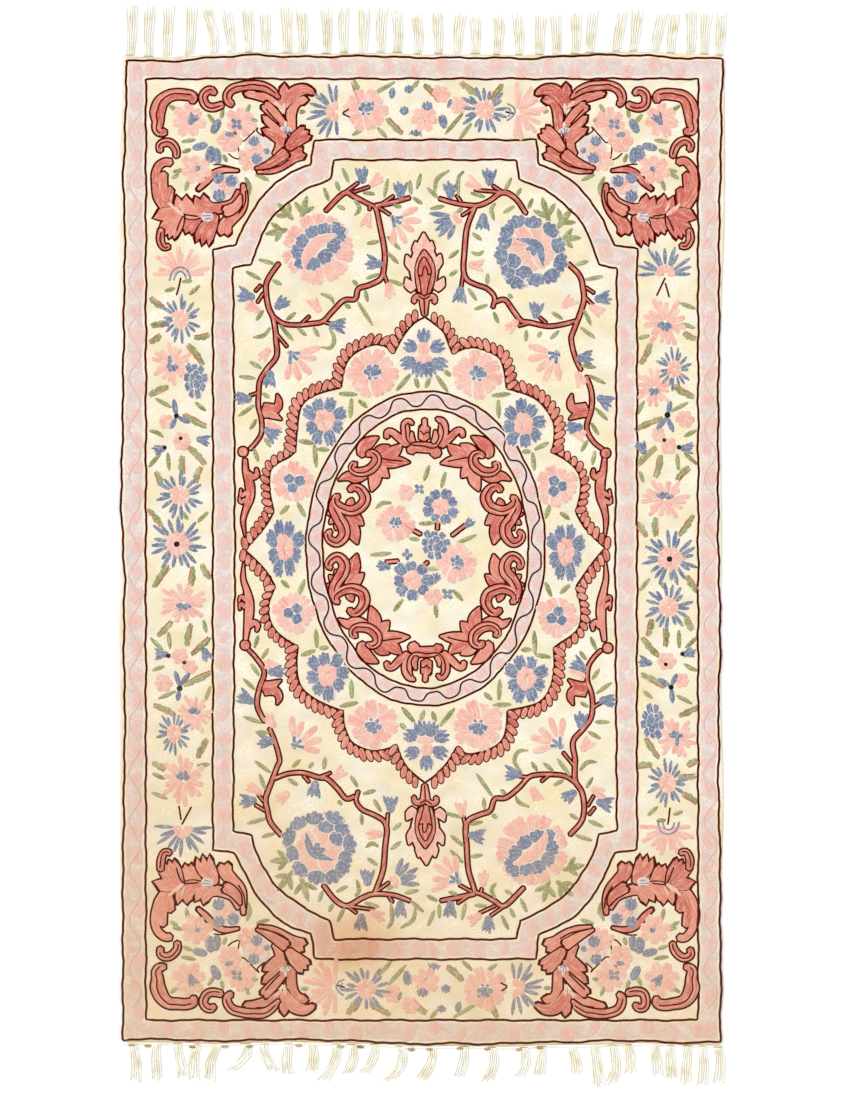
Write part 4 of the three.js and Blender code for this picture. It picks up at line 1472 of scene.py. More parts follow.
@dataclass
class LobeFlowers:
    """The flowers between the rope and the oval band, and the finials that stand on the medallion's tips."""

    flowers: tuple[Flower, ...] = (
        (Bloom.LOBE_PINK, 372.3, 373.7), (Bloom.LOBE_PINK, 477, 375, 10, 0.97),
        (Bloom.LOBE_BLUE, 324.3, 420.7, 0, 1, 0.89, 1.05), (Bloom.LOBE_BLUE, 523, 424, 15, 1, 0.89, 1.04),
        (Bloom.SIDE_PINK, 293, 482.4, 0, 0.96), (Bloom.SIDE_PINK, 556.4, 486, 20, 0.96),
        (Bloom.LOBE_BLUE, 284.6, 547.5, 0, 1.08, 0.72, 1.16),
    )
    top_petals: Rows = (  # x, y and heading
        (423.6, 336.6, 0), (410.7, 346.7, -60), (437.5, 346.7, 60), (408.5, 362.3, -110),
        (439.2, 363.4, 110), (418.5, 369.5, 200), (429, 370, 165),
    )
    top_hearts: Rows = ((423.6, 349, 6.6, 7), (424.3, 359, 10, 3.8))  # x, y, half-breadth and half-height
    leaves: Lines = (
        (339, 394, 357, 394), (351, 399, 350.6, 418.6), (358, 400, 366.7, 407), (410, 373.7, 396, 390.5),
        (414.6, 377, 418, 388), (429.7, 378, 426, 388), (435.8, 376, 448, 392), (443.7, 370, 450.4, 376),
        (299.4, 441, 314.8, 443.8), (314.8, 445, 316, 467), (317.6, 449.4, 328.8, 449.4),
        (280, 514, 289.5, 505.6), (298, 503, 305, 517), (492, 396, 510, 393), (498, 401, 499, 419),
        (535, 449, 549, 443), (533, 452, 534, 470), (522, 452, 531, 451), (560, 512, 569, 519),
        (551, 504, 545, 519),
    )
    leaf_half: float = 2.5
    core: Line = (424.6, 295, 424.6, 273, 424.6, 250.6)
    core_over_mm: float = 0.14
    core_halves: tuple[float, ...] = (6.2, 8.8, 10, 9.6, 6.6, 0.6)
    heart_lines: Lines = (
        (421.5, 294, 419.6, 283, 417.8, 271, 420.4, 262.6, 424.4, 257.3, 428.4, 262.6, 431, 272,
         428.2, 284, 426.8, 294),
        (421.8, 276.8, 422.6, 270.6, 425, 265.9, 427, 270.6, 427.2, 275.8), (417.8, 273.4, 421.8, 276.8),
        (427, 275.6, 431, 273.4),
    )
    calyx: tuple[Frond, ...] = (
        (0, 0, 0, (7, 12.4, 14.4, 14.6, 11, 6.4, 0.4), (424.5, 296, 424.6, 262, 423.4, 233.6)),
        (0, 0, 0, (5, 5, 0.4), (416, 270, 410, 262, 407, 254.6)),
        (0, 0, 0, (5, 5, 0.4), (433, 270, 438, 262, 441, 254.6)),
        (0, 0, 0, (4.4, 4.4, 0.4), (420, 256, 416.6, 249, 415.2, 241.6)),
        (0, 0, 0, (4.4, 4.4, 0.4), (427.6, 256, 430.6, 249, 431.8, 241.6)),
        (0, 0, 0, (5, 4.6, 0.4), (415.4, 289, 409, 285, 405.4, 278)),
        (0, 0, 0, (5, 4.6, 0.4), (433.6, 289, 440, 285, 443.6, 278)),
    )
    collar: Lines = (
        (424, 300.4, 420.6, 297, 415.6, 296.4, 413.8, 300.4, 416.4, 302),
        (425.4, 300.4, 429.4, 297, 434.4, 296.6, 436, 300.8, 433.4, 302.4),
    )
    collar_lines: Lines = ((417.8, 294.8, 424.5, 298.8, 431, 294.8), (424.5, 298.6, 424.8, 315.4))
    stem: Line = (424.8, 298, 424.8, 307, 424.8, 316)

    def sewn(self, work: Needlework) -> None:
        """Sews the flowers and leaves of every lobe, and both finials."""
        sew_flowers(work, "medallion", self.flowers)
        sew_leaves(work, "medallion", self.leaf_half, self.leaves)
        for x, y, turn in self.top_petals:
            for (spot,), way in zip(both((x, y)), (turn, turn + 180)):
                shape = partial(petal, spot, way, (-8.0, 9.5), 8.2, lobes=3, notch=0.7, slim=0.6)
                work.edged("medallion", Wool.BLUE, shape, TOPS[Wool.BLUE], 0.9, under=0.01)
        for x, y, wide, tall in self.top_hearts:
            hearts = [disc(spot, (wide, tall), TOPS[Wool.PINK] + 0.14) for (spot,) in both((x, y))]
            work.sew("medallion", Wool.PINK, hearts)
        self.finials(work)

    def finials(self, work: Needlework) -> None:
        """Sews the calyx in pale pink, the stem, collar and core in coral, and the dark lines on the core."""
        sew_fronds(work, "finial", self.calyx, Wool.PINK)
        sew_branches(work, "finial", (4.4, 3.4, 2.2), [self.stem], over=0.04)
        sew_branches(work, "finial", (2.8, 2.4, 1.9), self.collar, over=0.08)
        for way in both(self.core):
            core = partial(stroke, way, self.core_halves, tint=0.2, step=1.6)
            work.ringed("finial", Wool.CORAL, core, self.core_over_mm)
        top = TOPS[Wool.CORAL] + self.core_over_mm + OVERLAY_MM
        work.sew("finial", Wool.MAROON, dark_rows(twinned(self.heart_lines + self.collar_lines), top))


POINTED = np.array([0.8, 1.1, 1.16, 1.0, 0.62, 0.05])  # half-widths of a pointed leaf from foot to tip


@dataclass
class Wreath:
    """The coral acanthus scrolls inside the oval band.

    The upper left quarter and the top palmette are drawn, and the rest is mirrored or turned.
    """

    scrolls: tuple[Scroll, ...] = (
        ((2.6, 3.6, 4.4, 4.4, 4, 3, 2.4),
         (367, 457.5, 370.5, 453.5, 376.5, 456.5, 376, 464.5, 368, 471, 358, 472, 352.5, 468,
          353.5, 463.6, 357, 465.5)),
        ((2.6, 3.8, 4.8, 4.8, 4.2, 3.6, 2.6),
         (348.6, 491, 353, 486.5, 360, 489, 364.6, 497.5, 361.5, 506, 352, 510.5, 342, 509, 335.5, 503.5,
          335.5, 497.5, 339.6, 498)),
        ((3.6, 4.8, 5.4, 5, 3.6, 2.6),
         (335, 500, 333, 508, 338, 518, 344, 527, 344, 536, 337, 542.5, 330, 539, 329, 532.5, 333, 532)),
    )
    palmette: tuple[Frond, ...] = (
        (0, 0, 0, (4.6, 5, 4.6), (410, 448, 424.6, 447.6, 439, 448.6)),
        (0, 0, 0, (4.4, 5, 4), (411, 446, 413.6, 454.6)),
        (0, 0, 0, (4.4, 5.8, 4.4), (437, 446, 434.6, 458)),
        (0, 0, 0, (3.6, 3.6, 3.2, 2.8, 2.2), (409, 446, 399, 438.6, 391.6, 432, 386.8, 432, 386.2, 438.4)),
        (0, 0, 0, (3.6, 3.6, 3.2, 2.8, 2.2), (440, 446, 450, 438.6, 457.6, 431.6, 462.4, 431.6, 463, 438)),
        (0, 0, 0, (3.4, 4, 4, 3.6, 2.6, 1.2),
         (412, 445, 406.4, 438, 404.6, 430.6, 405, 424.6, 409, 421.4, 413, 424.8)),
        (0, 0, 0, (3.4, 4.6, 4.8, 4.6, 3.4, 1),
         (437, 445, 442.4, 438, 443.6, 430, 442.4, 423.6, 439, 419.8, 435, 418.4)),
        (1, 0, 0, (2, 2.2, 0.9), (414, 443, 411.6, 438, 411.2, 432)),
        (1, 0, 0, (2, 2.6, 0.9), (433, 443, 436, 437, 434.6, 429.4)),
        (2, 0, 0, (5.2, 5.2, 5), (424, 441, 424, 432, 424.3, 424)),
        (2, 0, 0, (2.2, 2), (424.4, 430, 424.5, 417.4)),
    )
    leaves: tuple[Leaf, ...] = (
        (5.4, (362, 458, 363, 448, 369, 442, 378.5, 436.5)), (4.8, (374, 457, 381, 450, 389.5, 445)),
        (5.8, (380, 460, 390, 454, 396, 450, 402, 444)),
        (5.4, (376, 461, 390, 461, 400, 461.5, 410, 462.7)), (5.2, (377, 463, 382, 470, 388.6, 477.5)),
        (5.6, (373, 467, 375, 478, 371, 492)), (4.6, (368, 474, 357, 477, 348, 475.5, 339, 480)),
        (3.4, (348, 508, 350, 503, 352, 498)), (5.6, (345, 512, 354, 517, 364, 525)),
        (6.4, (344, 518, 352, 528, 357, 544.5)), (3, (337, 511, 332, 513, 326.8, 514)),
        (3, (339, 517, 334, 520, 329.6, 524)), (3, (342, 522, 338, 526, 336, 530)),
    )
    veins: Lines = (
        (419, 431.4, 422, 431.8, 423.6, 434.6, 426, 431.8, 430, 432), (419.6, 423, 419.8, 428),
        (409.1, 423.3, 405.4, 425.7, 405, 431.6, 407, 439.9, 412.8, 445.7, 423, 446, 434.4, 447.3,
         440.6, 442.3, 443.5, 434, 442.7, 428.2, 438.6, 421.6),
        (381, 458, 391, 459, 403, 461.4), (469, 458, 459, 459, 447, 461.4),
    )

    def sewn(self, work: Needlework) -> None:
        """Sews the leaves, the scrolls over their feet, the palmettes and the dark veins."""
        for side in (pairs, mirrored):
            leaves = [(0, 0, 0, half * POINTED, side(line)) for half, line in self.leaves]
            sew_fronds(work, "wreath", leaves)
            sew_scrolls(work, "wreath", [(halves, side(line)) for halves, line in self.scrolls])
        sew_fronds(work, "wreath", self.palmette)
        work.sew("wreath", Wool.MAROON, dark_rows(twinned(self.veins), TOPS[Wool.CORAL] + OVERLAY_MM))


@dataclass
class Bouquet:
    """The loose bunch of flowers in the middle, the one part of the design that is drawn whole."""

    flowers: tuple[Flower, ...] = (
        (Bloom.ROSETTE_BLUE, 440.4, 506.6, 0, 0.98), (Bloom.ROSETTE_PINK, 438.5, 507.5, 180, 0.55),
        (Bloom.LOBE_PINK, 395.3, 523.5, 0, 0.74), (Bloom.LOBE_PINK, 456, 563, 30, 0.8),
        (Bloom.TUFT_BLUE, 434.8, 544.2, 0, 0.9, 0.95, 1), (Bloom.ROSETTE_BLUE, 412.2, 580, 20, 1.08),
        (Bloom.CROSS, 418.8, 488.7, 0, 0.95), (Bloom.DAB_PINK, 405.6, 492.5, 0, 0.9),
        (Bloom.CROSS, 406.5, 554.6, 45), (Bloom.CROSS, 447, 594, 0, 1.1), (Bloom.TULIP, 388, 567, -80, 0.8),
        (Bloom.TULIP, 433, 582, 30, 0.7), (Bloom.DAB_PINK, 432.9, 597, 0, 0.95),
        (Bloom.TULIP, 465, 526, 50, 0.7), (Bloom.CROSS, 456, 566, 0, 0.8),
    )
    leaves: Lines = (
        (429, 466, 424, 481), (445, 472, 442, 488), (392, 503, 383, 504, 376, 509),
        (419, 523.5, 434, 523.5), (409, 538.6, 420, 539.5), (371, 554.6, 392, 553.6),
        (425, 568.7, 439.5, 567.7), (457, 544, 476, 535), (403, 599, 394, 611), (435, 603, 436, 617.6),
        (453.6, 590, 462, 600.7),
    )
    stems: Lines = (
        (437.6, 519, 437.6, 530), (404, 525.4, 421, 534), (466, 524.5, 452, 536), (386, 562, 399, 561),
        (428, 561, 416, 573),
    )

    def sewn(self, work: Needlework) -> None:
        """Sews the leaves, the short coral stems and the flowers."""
        sew_leaves(work, "bouquet", 2.3, self.leaves, twins=False)
        sew_branches(work, "bouquet", 1.3, self.stems, twins=False)
        sew_flowers(work, "bouquet", self.flowers, twins=False)


@dataclass
class CornerFrames:
    """The four scrolled corners: one drawn, its mirror image in the next corner, and both turned."""

    scrolls: tuple[Scroll, ...] = (
        ((3, 4.8, 5, 5.2, 5.8, 6.8, 7, 5.2, 4.4, 3),
         (191.5, 103, 194, 97, 187, 94.8, 177, 95.2, 168, 97, 161.5, 102.5, 158.2, 112, 158.2, 121,
          157.4, 128.5, 161.5, 132.6, 166.4, 130.6)),
        ((2.6, 3.6, 3.7, 3.7, 3.5, 3),
         (215.3, 95.5, 212.5, 91, 207, 91.5, 203.8, 97, 206, 105, 213, 107.8, 224, 105)),
        ((2.8, 3.8, 4, 4, 4.2, 4.2, 3.6, 1.4),
         (233.5, 105, 228.8, 103, 227.6, 97, 231.5, 90.5, 239.5, 86.6, 250, 85.6, 262, 86.8, 271.5, 91.4,
          279, 99)),
        ((2.6, 3.4, 3.5, 3.4, 2.6),
         (160.6, 152.5, 160, 144.8, 166, 141.6, 172.5, 144.4, 176.8, 151, 176.8, 158)),
        ((2.8, 3.4, 3, 2.4), (161, 228, 160.6, 240, 164.5, 247, 171, 245.6)),
    )
    fronds: tuple[Frond, ...] = (
        (0, 0, 0, (3.4, 3.7, 3.8, 4.2, 5, 6.2, 5.6, 2.6),
         (173, 163, 166, 161.5, 159.5, 166, 156.2, 174, 155.8, 184, 159, 195, 165, 206, 171, 213)),
        (0, 0, 0, (4, 6.4, 5, 3.6), (164, 202, 161.5, 189, 162.6, 180, 164, 172)),
        (0, 0, 0, (4, 5.6, 4.2), (168, 208, 168.4, 198, 170.6, 187)),
        (2, 2, 0.75, (3, 6.5, 10, 12), (182, 213, 172, 216, 163, 221, 155, 224)),
        (2, 3, 0.6, (3.4, 7, 8.4, 7.6), (182, 213.6, 177, 222, 172, 231, 168.6, 239)),
        (1, 2, 0.75, (2.4, 5, 8, 9, 9), (206, 213.6, 195, 212, 186, 207.6, 182.6, 201, 182, 194.4)),
        (2, 2, 0.7, (1.6, 3, 4.2, 5, 7.4, 8.2),
         (239, 190, 233, 202, 222, 208, 210, 209.4, 202.6, 204, 199.6, 195)),
        (0, 3, 0.45, (2.6, 7.4, 9, 8.6), (201, 215.6, 194, 220, 188, 227, 185.6, 234.6)),
        (3, 3, 0.8, (3.4, 7, 9, 9.4), (216, 215, 211, 224, 206, 233, 202.6, 245)),
        (1, 2, 0.4, (1.6, 3.4, 4.6, 5.2, 6, 7.2),
         (243.4, 184, 243.4, 198, 240, 210, 232, 219, 226, 226, 224.4, 236.6)),
        (4, 2, 0.3, (1, 4, 5, 5.4), (241, 194, 237, 204, 230, 209.4, 222.6, 213)),
        (1, 1, 1, (2.6, 4.4, 4.2, 3), (281, 106, 270, 100, 257, 95.4, 243.6, 93.4)),
        (2, 1, 1.2, (3.4, 4.8, 4.4), (283, 108, 283.6, 96, 284.4, 83)),
        (2, 1, 1, (3.4, 6, 6.6, 5.2, 2.6), (284, 109, 288.6, 99, 296.6, 91.4, 306, 89.6, 315.4, 94.6)),
        (1, 1, 0.9, (3.6, 4.6, 4.8, 4.8, 4.8),
         (292, 133, 291.6, 117, 293.6, 106, 299.6, 99.8, 308.6, 100.4)),
        (2, 2, 0.35, (3.4, 5, 5.2), (285, 126, 275, 115, 262.6, 103.4)),
        (0, 1, 1.2, (5, 5.6, 4), (285, 138, 276, 127, 262.6, 116)),
        (0, 1, 1.2, (5, 5.4, 3.6), (284, 145, 276, 136.4, 262.8, 128.6)),
        (0, 0, 0, (4.6, 5.2, 5, 3), (283, 124, 282, 136, 279.4, 147, 274, 156)),
        (1, 2, 0.45, (1.2, 3.6, 5, 5.4, 7.4),
         (258, 172.4, 274, 168.6, 287, 161.6, 295, 156.4, 305.6, 151.2)),
        (3, 3, 0.4, (4, 7, 8.2), (286.6, 150, 296, 140, 308, 130)),
        (2, 2, 0.25, (1, 4, 5.6), (256, 169.4, 272, 163, 287.6, 152)),
        (1, 1, 0.8, (1, 2.2, 3, 2.8, 1.6), (239, 171, 224, 169.6, 213.6, 174.6, 205, 184, 197.6, 190.4)),
    )
    pale: Rows = (  # x, y, half-breadth, half-height and turn
        (278.4, 105.6, 5.6, 2, 40), (284.6, 108.6, 5.4, 2, 95), (172.6, 207.4, 6, 1.8, 50),
        (178.6, 211.4, 7, 2.2, 40), (182.6, 208, 5.4, 1.6, 70),
    )
    frosted: Rows = ((286, 130, 6.4, 3, 12), (286, 126, 1.8, 4.4, 0), (207, 216.6, 6.8, 5.4, 0))
    ticks: Lines = (
        (283, 128, 285.6, 134.6), (286, 127, 286, 135), (290, 130, 286.8, 134.6), (201, 216, 211, 215.6),
        (204, 219, 211, 218.4), (204, 212.6, 211, 213),
    )
    zigzags: Lines = (
        (259.1, 126.7, 250, 136, 243.6, 141.9, 237.6, 141.4, 238.1, 149, 240.4, 160.4),
        (228, 153, 233, 157.6, 240.4, 160.4), (259, 127, 257.4, 131, 264.5, 137),
        (212.6, 164.4, 222.4, 165, 236.4, 168.6),
    )
    leaf_half: float = 2.2
    tick_half: float = 0.7
    eyes: Rows = ((257.3, 149, 15), (226.5, 187, 16))  # x, y and radius
    eye_spots: Rows = (  # x, y, radius and turn
        (253.8, 141, 6, 0), (256.6, 158.6, 6.4, 30), (266.5, 151, 3.4, 60), (218.6, 177.6, 6.4, 20),
        (232.4, 180.6, 6.6, 50), (219, 195.6, 6.8, 0),
    )
    flowers: tuple[Flower, ...] = (
        (Bloom.ROSETTE_PINK, 188.6, 120, 0, 1.2), (Bloom.ROSETTE_PINK, 240.5, 122.8, 0, 1.1),
        (Bloom.CROSS, 236.3, 124, 0, 1.1), (Bloom.ROSETTE_PINK, 196, 169.5, 0, 1.1),
        (Bloom.ROSETTE_PINK, 249, 160, 0, 0.85), (Bloom.DAB_PINK, 229.6, 141, 0, 1.3),
        (Bloom.TULIP, 190, 123, 30, 0.75), (Bloom.DAB_PINK, 257, 149.5, 0, 0.7),
        (Bloom.DAB_PINK, 226, 187, 0, 0.9),
    )
    petals: Rows = (  # as for pale
        (215.6, 126.4, 4.6, 8.4, 28), (229.4, 135.4, 5.4, 3, 10), (200.4, 147, 8.2, 4.2, -14),
        (210.4, 154.6, 5.4, 9, 8), (216.8, 156, 4.6, 8.6, -8), (197.6, 169, 3.4, 3.2, 0),
    )
    leaves: Lines = (
        (170, 106, 178, 112), (208, 114, 214.6, 123.4), (223, 110, 221, 119), (182, 142, 196, 140),
        (182.6, 153, 192, 149.6), (173, 171.4, 184, 170), (189, 178, 186, 191), (249.6, 104, 246, 113),
        (249, 118.4, 258, 121), (223.4, 154, 226.4, 162), (226, 147.6, 233, 151), (256, 175, 269, 180),
        (246, 178, 251, 190), (249, 196, 250.6, 184), (171, 178, 179, 173.6),
    )
    veins: Lines = (
        (265.6, 109, 273, 117, 280.6, 125), (283.6, 114, 287.6, 122), (285.6, 138, 283.4, 148),
        (245.4, 190, 244.4, 203, 238, 214), (184, 214.8, 198, 216.4), (214.6, 215, 222, 214.8),
        (255, 91.4, 268.4, 93.4, 276.8, 99), (290, 160, 279, 166, 262, 170.6),
        (184, 214.6, 180, 222, 176.4, 232),
    )

    def corners(self, line: Line) -> tuple[np.ndarray, ...]:
        """A line in all four corners: as drawn, mirrored, and both turned by half a turn."""
        return (*both(line), *both(mirrored(line)))

    def sewn(self, work: Needlework) -> None:
        """Sews the eyes, fronds, scrolls, dark lines and spots, then the leaves and flowers between them."""
        for x, y, radius in self.eyes:
            eyes = [disc(spot, (radius, radius), TOPS[Wool.MAUVE] + 0.05) for (spot,) in self.corners((x, y))]
            work.sew("corners", Wool.MAUVE, eyes)
        for copied in (pairs, mirrored):
            sew_fronds(work, "corners", [(*shape, copied(line)) for *shape, line in self.fronds])
        scrolls = [(halves, copied(line)) for halves, line in self.scrolls for copied in (pairs, mirrored)]
        sew_scrolls(work, "corners", scrolls)
        for lines, top in ((self.veins, TOPS[Wool.MAROON] + 6 * LEVEL_MM), (self.zigzags, TOPS[Wool.MAROON])):
            ways = [way for line in lines for way in self.corners(line)]
            work.sew("corners", Wool.MAROON, dark_rows(ways, top))
        self.spots(work)
        leaves = [copied(line) for line in self.leaves for copied in (pairs, mirrored)]
        sew_leaves(work, "corners", self.leaf_half, leaves)
        sew_flowers(work, "corners", self.flowers)
        sew_flowers(work, "corners", [(kind, *mirrored((x, y))[0], -rest[0] if rest else 0.0, *rest[1:])
                                      for kind, x, y, *rest in self.flowers])

    def spots(self, work: Needlework) -> None:
        """Sews the eyes' blue blobs, the loose blue petals, and the leaves' pale hearts with blue ticks."""
        signs = (1, 1, -1, -1)
        for x, y, radius, turn in self.eye_spots:
            blobs = [petal(spot, sign * turn, (-radius, radius), radius, TOPS[Wool.BLUE], 3, 0.5, 0.7)
                     for (spot,), sign in zip(self.corners((x, y)), signs)]
            work.sew("corners", Wool.BLUE, blobs)
        for table, wool, over in (
            (self.petals, Wool.BLUE, 0.0),
            (self.pale, Wool.PINK, 0.5),
            (self.frosted, Wool.MAUVE, 0.68),
        ):
            for x, y, wide, tall, turn in table:
                shapes = [disc(spot, (wide, tall), TOPS[wool] + over, turn=sign * turn)
                          for (spot,), sign in zip(self.corners((x, y)), signs)]
                work.sew("corners", wool, shapes)
        ways = [way for line in self.ticks for way in self.corners(line)]
        work.sew("corners", Wool.BLUE, [stroke(way, self.tick_half, TOPS[Wool.CORAL] + 0.42) for way in ways])


@dataclass
class Garlands:
    """The flowers along the four borders: the top and left ones drawn, the bottom and right ones turned."""

    flowers: tuple[Flower, ...] = (
        (Bloom.ASTER_HALF, 335, 111.7, -90), (Bloom.LOBE_PINK, 365.4, 110.2, 0, 0.86),
        (Bloom.CROSS, 369, 106), (Bloom.ROSETTE_PINK, 424.4, 118, 0, 0.95), (Bloom.DAB_PINK, 440.3, 94.2),
        (Bloom.DAB_PINK, 457.8, 105.4), (Bloom.ASTER_BLUE, 484.2, 110.2, 0, 0.95),
        (Bloom.ASTER_PINK_HALF, 516, 111.7, 90, 1.05), (Bloom.ASTER_PINK_HALF, 180.4, 274, 0),
        (Bloom.ASTER_BLUE, 180.4, 319, 0, 0.94, 0.86, 1), (Bloom.ASTER_PINK, 172, 364, 180, 0.86),
        (Bloom.TUFT_BLUE, 195, 380, 0, 0.95, 0.75, 1.15), (Bloom.DAB_PINK, 166, 421.6, 0, 0.8),
        (Bloom.DAB_PINK, 181.4, 441), (Bloom.TULIP, 198, 439, 100, 0.8), (Bloom.TULIP, 164, 448, -105, 0.8),
        (Bloom.ASTER_BLUE, 179.4, 495, 0, 0.94), (Bloom.ASTER_BIG, 177.3, 543.7),
        (Bloom.ASTER_PINK, 183, 603, 180, 1, 1, 0.84), (Bloom.TULIP, 166, 654, -95, 0.8),
        (Bloom.TULIP, 204, 650, 155, 0.8), (Bloom.DAB_PINK, 179.4, 656, 0, 0.9),
        (Bloom.DAB_PINK, 189.6, 667, 0, 0.8), (Bloom.DAB_PINK, 163, 683),
        (Bloom.ASTER_PINK, 194, 714, 0, 0.82, 0.9, 1), (Bloom.ASTER_BLUE, 173.7, 733, 0, 0.86, 0.8, 1),
        (Bloom.ASTER_PINK, 183, 780, 0, 1, 0.9, 1.05), (Bloom.ASTER_HALF, 182.4, 828, 180),
    )
    blue_dabs: Rows = (  # x, y, half-breadth, half-length and heading
        (391.7, 92.6, 3.5, 6, 10), (408.4, 89.4, 5, 4.4, 0), (404.4, 110.2, 5, 4.6, 0),
        (427.6, 106.2, 6, 5, 0), (450, 103, 2, 5, 20), (442.7, 121.3, 4.5, 7.6, -10),
        (415.6, 132.5, 7, 4, 8), (169.7, 363, 2, 7.5, 2),
    )
    blue_petals: Lines = (
        (176, 414, 174.5, 399.5), (178, 417, 190, 423), (175.5, 418, 171, 428.5), (179.3, 684, 175, 670.5),
        (180.5, 684.5, 190.5, 672.5), (179.3, 690, 177, 701),
    )
    arches: Lines = (
        (168.5, 281, 172, 271.5, 179.5, 267.5, 187, 271, 190.5, 280),
        (173, 280, 175.5, 274, 179.5, 271.5, 183.5, 274, 186, 279.5),
        (506, 103.5, 512, 107, 514.5, 112, 512, 117, 506, 120.5), (507.5, 107.5, 510.5, 112, 507.5, 116.5),
    )
    slim_half: float = 2.2
    wide_half: float = 3.8
    twig_half: float = 0.9
    over_mm: float = 0.1  # how far the blue dabs top their wool's own layer
    right_from: float = 625.0  # cartoon x at which the right border begins
    right_shift: tuple[float, float] = (-2.6, 3.0)
    twigs: Lines = (
        (342, 113, 349, 108.6), (342, 113.5, 350, 117), (505, 111.7, 514, 114),
        (180.4, 277, 179, 286, 177.3, 295), (178.4, 805, 182, 820), (191.6, 806, 182, 825),
    )
    dots: Rows = (  # x, y and radius
        (176.3, 415.5, 2.6), (181.4, 438, 2), (165, 448, 2.2), (177.3, 543.7, 3), (168.2, 655, 2.4),
        (184, 662, 2), (179.8, 687.6, 3),
    )
    slim_leaves: Lines = (
        (306, 111, 299, 112), (549, 111, 542, 111), (165, 291, 175, 288), (182, 282, 192, 281),
        (200, 286, 190, 295), (195, 403, 205, 411), (156, 399, 171, 407), (149, 431, 157, 433, 164, 438),
        (161, 454, 149, 466), (168, 454, 169, 471), (181, 511, 188, 520), (208, 512, 198, 523),
        (169, 632, 170, 648), (204, 620, 207, 632), (151, 638, 163, 650), (152, 671, 164, 666),
        (176, 691, 159, 699), (210, 687, 204, 701), (198, 766, 210, 764), (153, 774, 166, 779),
        (152, 793, 167, 799), (462, 114, 445, 134), (471, 124, 459, 139), (395, 82, 373, 95),
        (364, 128, 353, 135), (378, 128, 387, 138), (412, 89, 419, 81),
    )
    wide_leaves: Lines = (
        (354, 81, 362, 104), (387, 119, 402, 134), (424, 85, 439, 98), (460, 84, 479, 96),
        (503, 85, 492, 100), (150, 299, 164, 309), (151, 325, 169, 324), (150, 343, 161, 336),
        (189, 344, 203, 364), (195, 338, 210, 336), (149, 395, 168, 386), (183, 415, 206, 428),
        (189, 446, 206, 464), (181, 456, 182, 475), (156, 471, 162, 485), (200, 466, 195, 483),
        (149, 509, 162, 526), (168, 566, 154, 586), (193, 566, 192, 585), (201, 565, 210, 579),
        (172, 622, 159, 636), (191, 624, 186, 646), (210, 638, 192, 655), (185, 685, 212, 673),
        (154, 704, 175, 715), (206, 738, 197, 758), (152, 762, 165, 769),
    )

    def sewn(self, work: Needlework) -> None:
        """Sews leaves, twigs, flowers, blue dabs and black dots along all four borders."""
        sew_leaves(work, "borders", self.slim_half, self.slim_leaves)
        sew_leaves(work, "borders", self.wide_half, self.wide_leaves, edged=True)
        sew_flowers(work, "borders", self.flowers)
        top = TOPS[Wool.BLUE] + self.over_mm
        for x, y, wide, tall, turn in self.blue_dabs:
            lobes = 3 if wide > 4 else 1
            dabs = [petal(spot, turn + way, (-tall, tall), wide, top, lobes, 0.5)
                    for (spot,), way in zip(both((x, y)), (0, 180))]
            work.sew("borders", Wool.BLUE, dabs)
        work.sew("borders", Wool.BLUE, [leaf(way, 2.6, top) for way in twinned(self.blue_petals)])
        arches = [stroke(way, self.twig_half, top, step=1.5) for way in twinned(self.arches)]
        work.sew("borders", Wool.BLUE, arches)
        twigs = [stroke(way, self.twig_half, TOPS[Wool.CORAL]) for way in twinned(self.twigs)]
        work.sew("borders", Wool.MAROON, twigs)
        for x, y, radius in self.dots:
            dots = [disc(spot, (radius, radius), TOPS[Wool.BLACK]) for (spot,) in both((x, y))]
            work.sew("borders", Wool.BLACK, dots)
        self.move_right(work)

    def move_right(self, work: Needlework) -> None:
        """Moves the right border's motifs, twins of the left one's, to where the maker sewed them."""
        for (area, _), shapes in work.shapes.items():
            for shape in shapes:
                if area == "borders" and shape.place[..., 0].min() > self.right_from:
                    shape.place[..., :2] += self.right_shift


Tube = tuple[np.ndarray, np.ndarray]  # rings of points, and faces


def tube_grid(path: np.ndarray, radii: np.ndarray, sides: int) -> Tube:
    """A closed yarn along a level path: an oval carried along it, and flat caps at both ends.

    A point stands off the path by the cosine of its angle times the breadth, to the left, and by the sine
    times the height, upwards.

    Args:
        path: points in mm.
        radii: half-breadth and half-height at every point.
        sides: sides of the oval, an even number.

    Returns:
        The rings' points as rings by sides by axes, and the faces as quads of point numbers.
    """
    slope = np.gradient(path[:, :2], axis=0)
    slope /= np.maximum(np.hypot(*slope.T), 1e-6)[:, None]
    left = np.stack([-slope[:, 1], slope[:, 0], np.zeros(len(path))], axis=1)
    angle = 2 * np.pi * np.arange(sides) / sides
    out = left[:, None, :] * (radii[:, :1] * np.cos(angle))[..., None]
    rings = path[:, None, :] + out + np.array([0.0, 0.0, 1.0]) * (radii[:, 1:] * np.sin(angle))[..., None]
    number = np.arange(len(path) * sides).reshape(len(path), sides)
    after = np.roll(number, -1, axis=1)
    walls = np.stack([number[:-1], after[:-1], after[1:], number[1:]], axis=-1).reshape(-1, 4)
    k = np.arange(1, sides - 1, 2)
    cap = np.stack([0 * k, k, k + 1, k + 2 - (k + 2 >= sides) * sides], axis=1)
    cap = np.array([quad for quad in cap if len(set(quad.tolist())) == 4])
    faces = np.concatenate([walls, cap[:, ::-1], cap + number[-1, 0]])
    return rings, faces


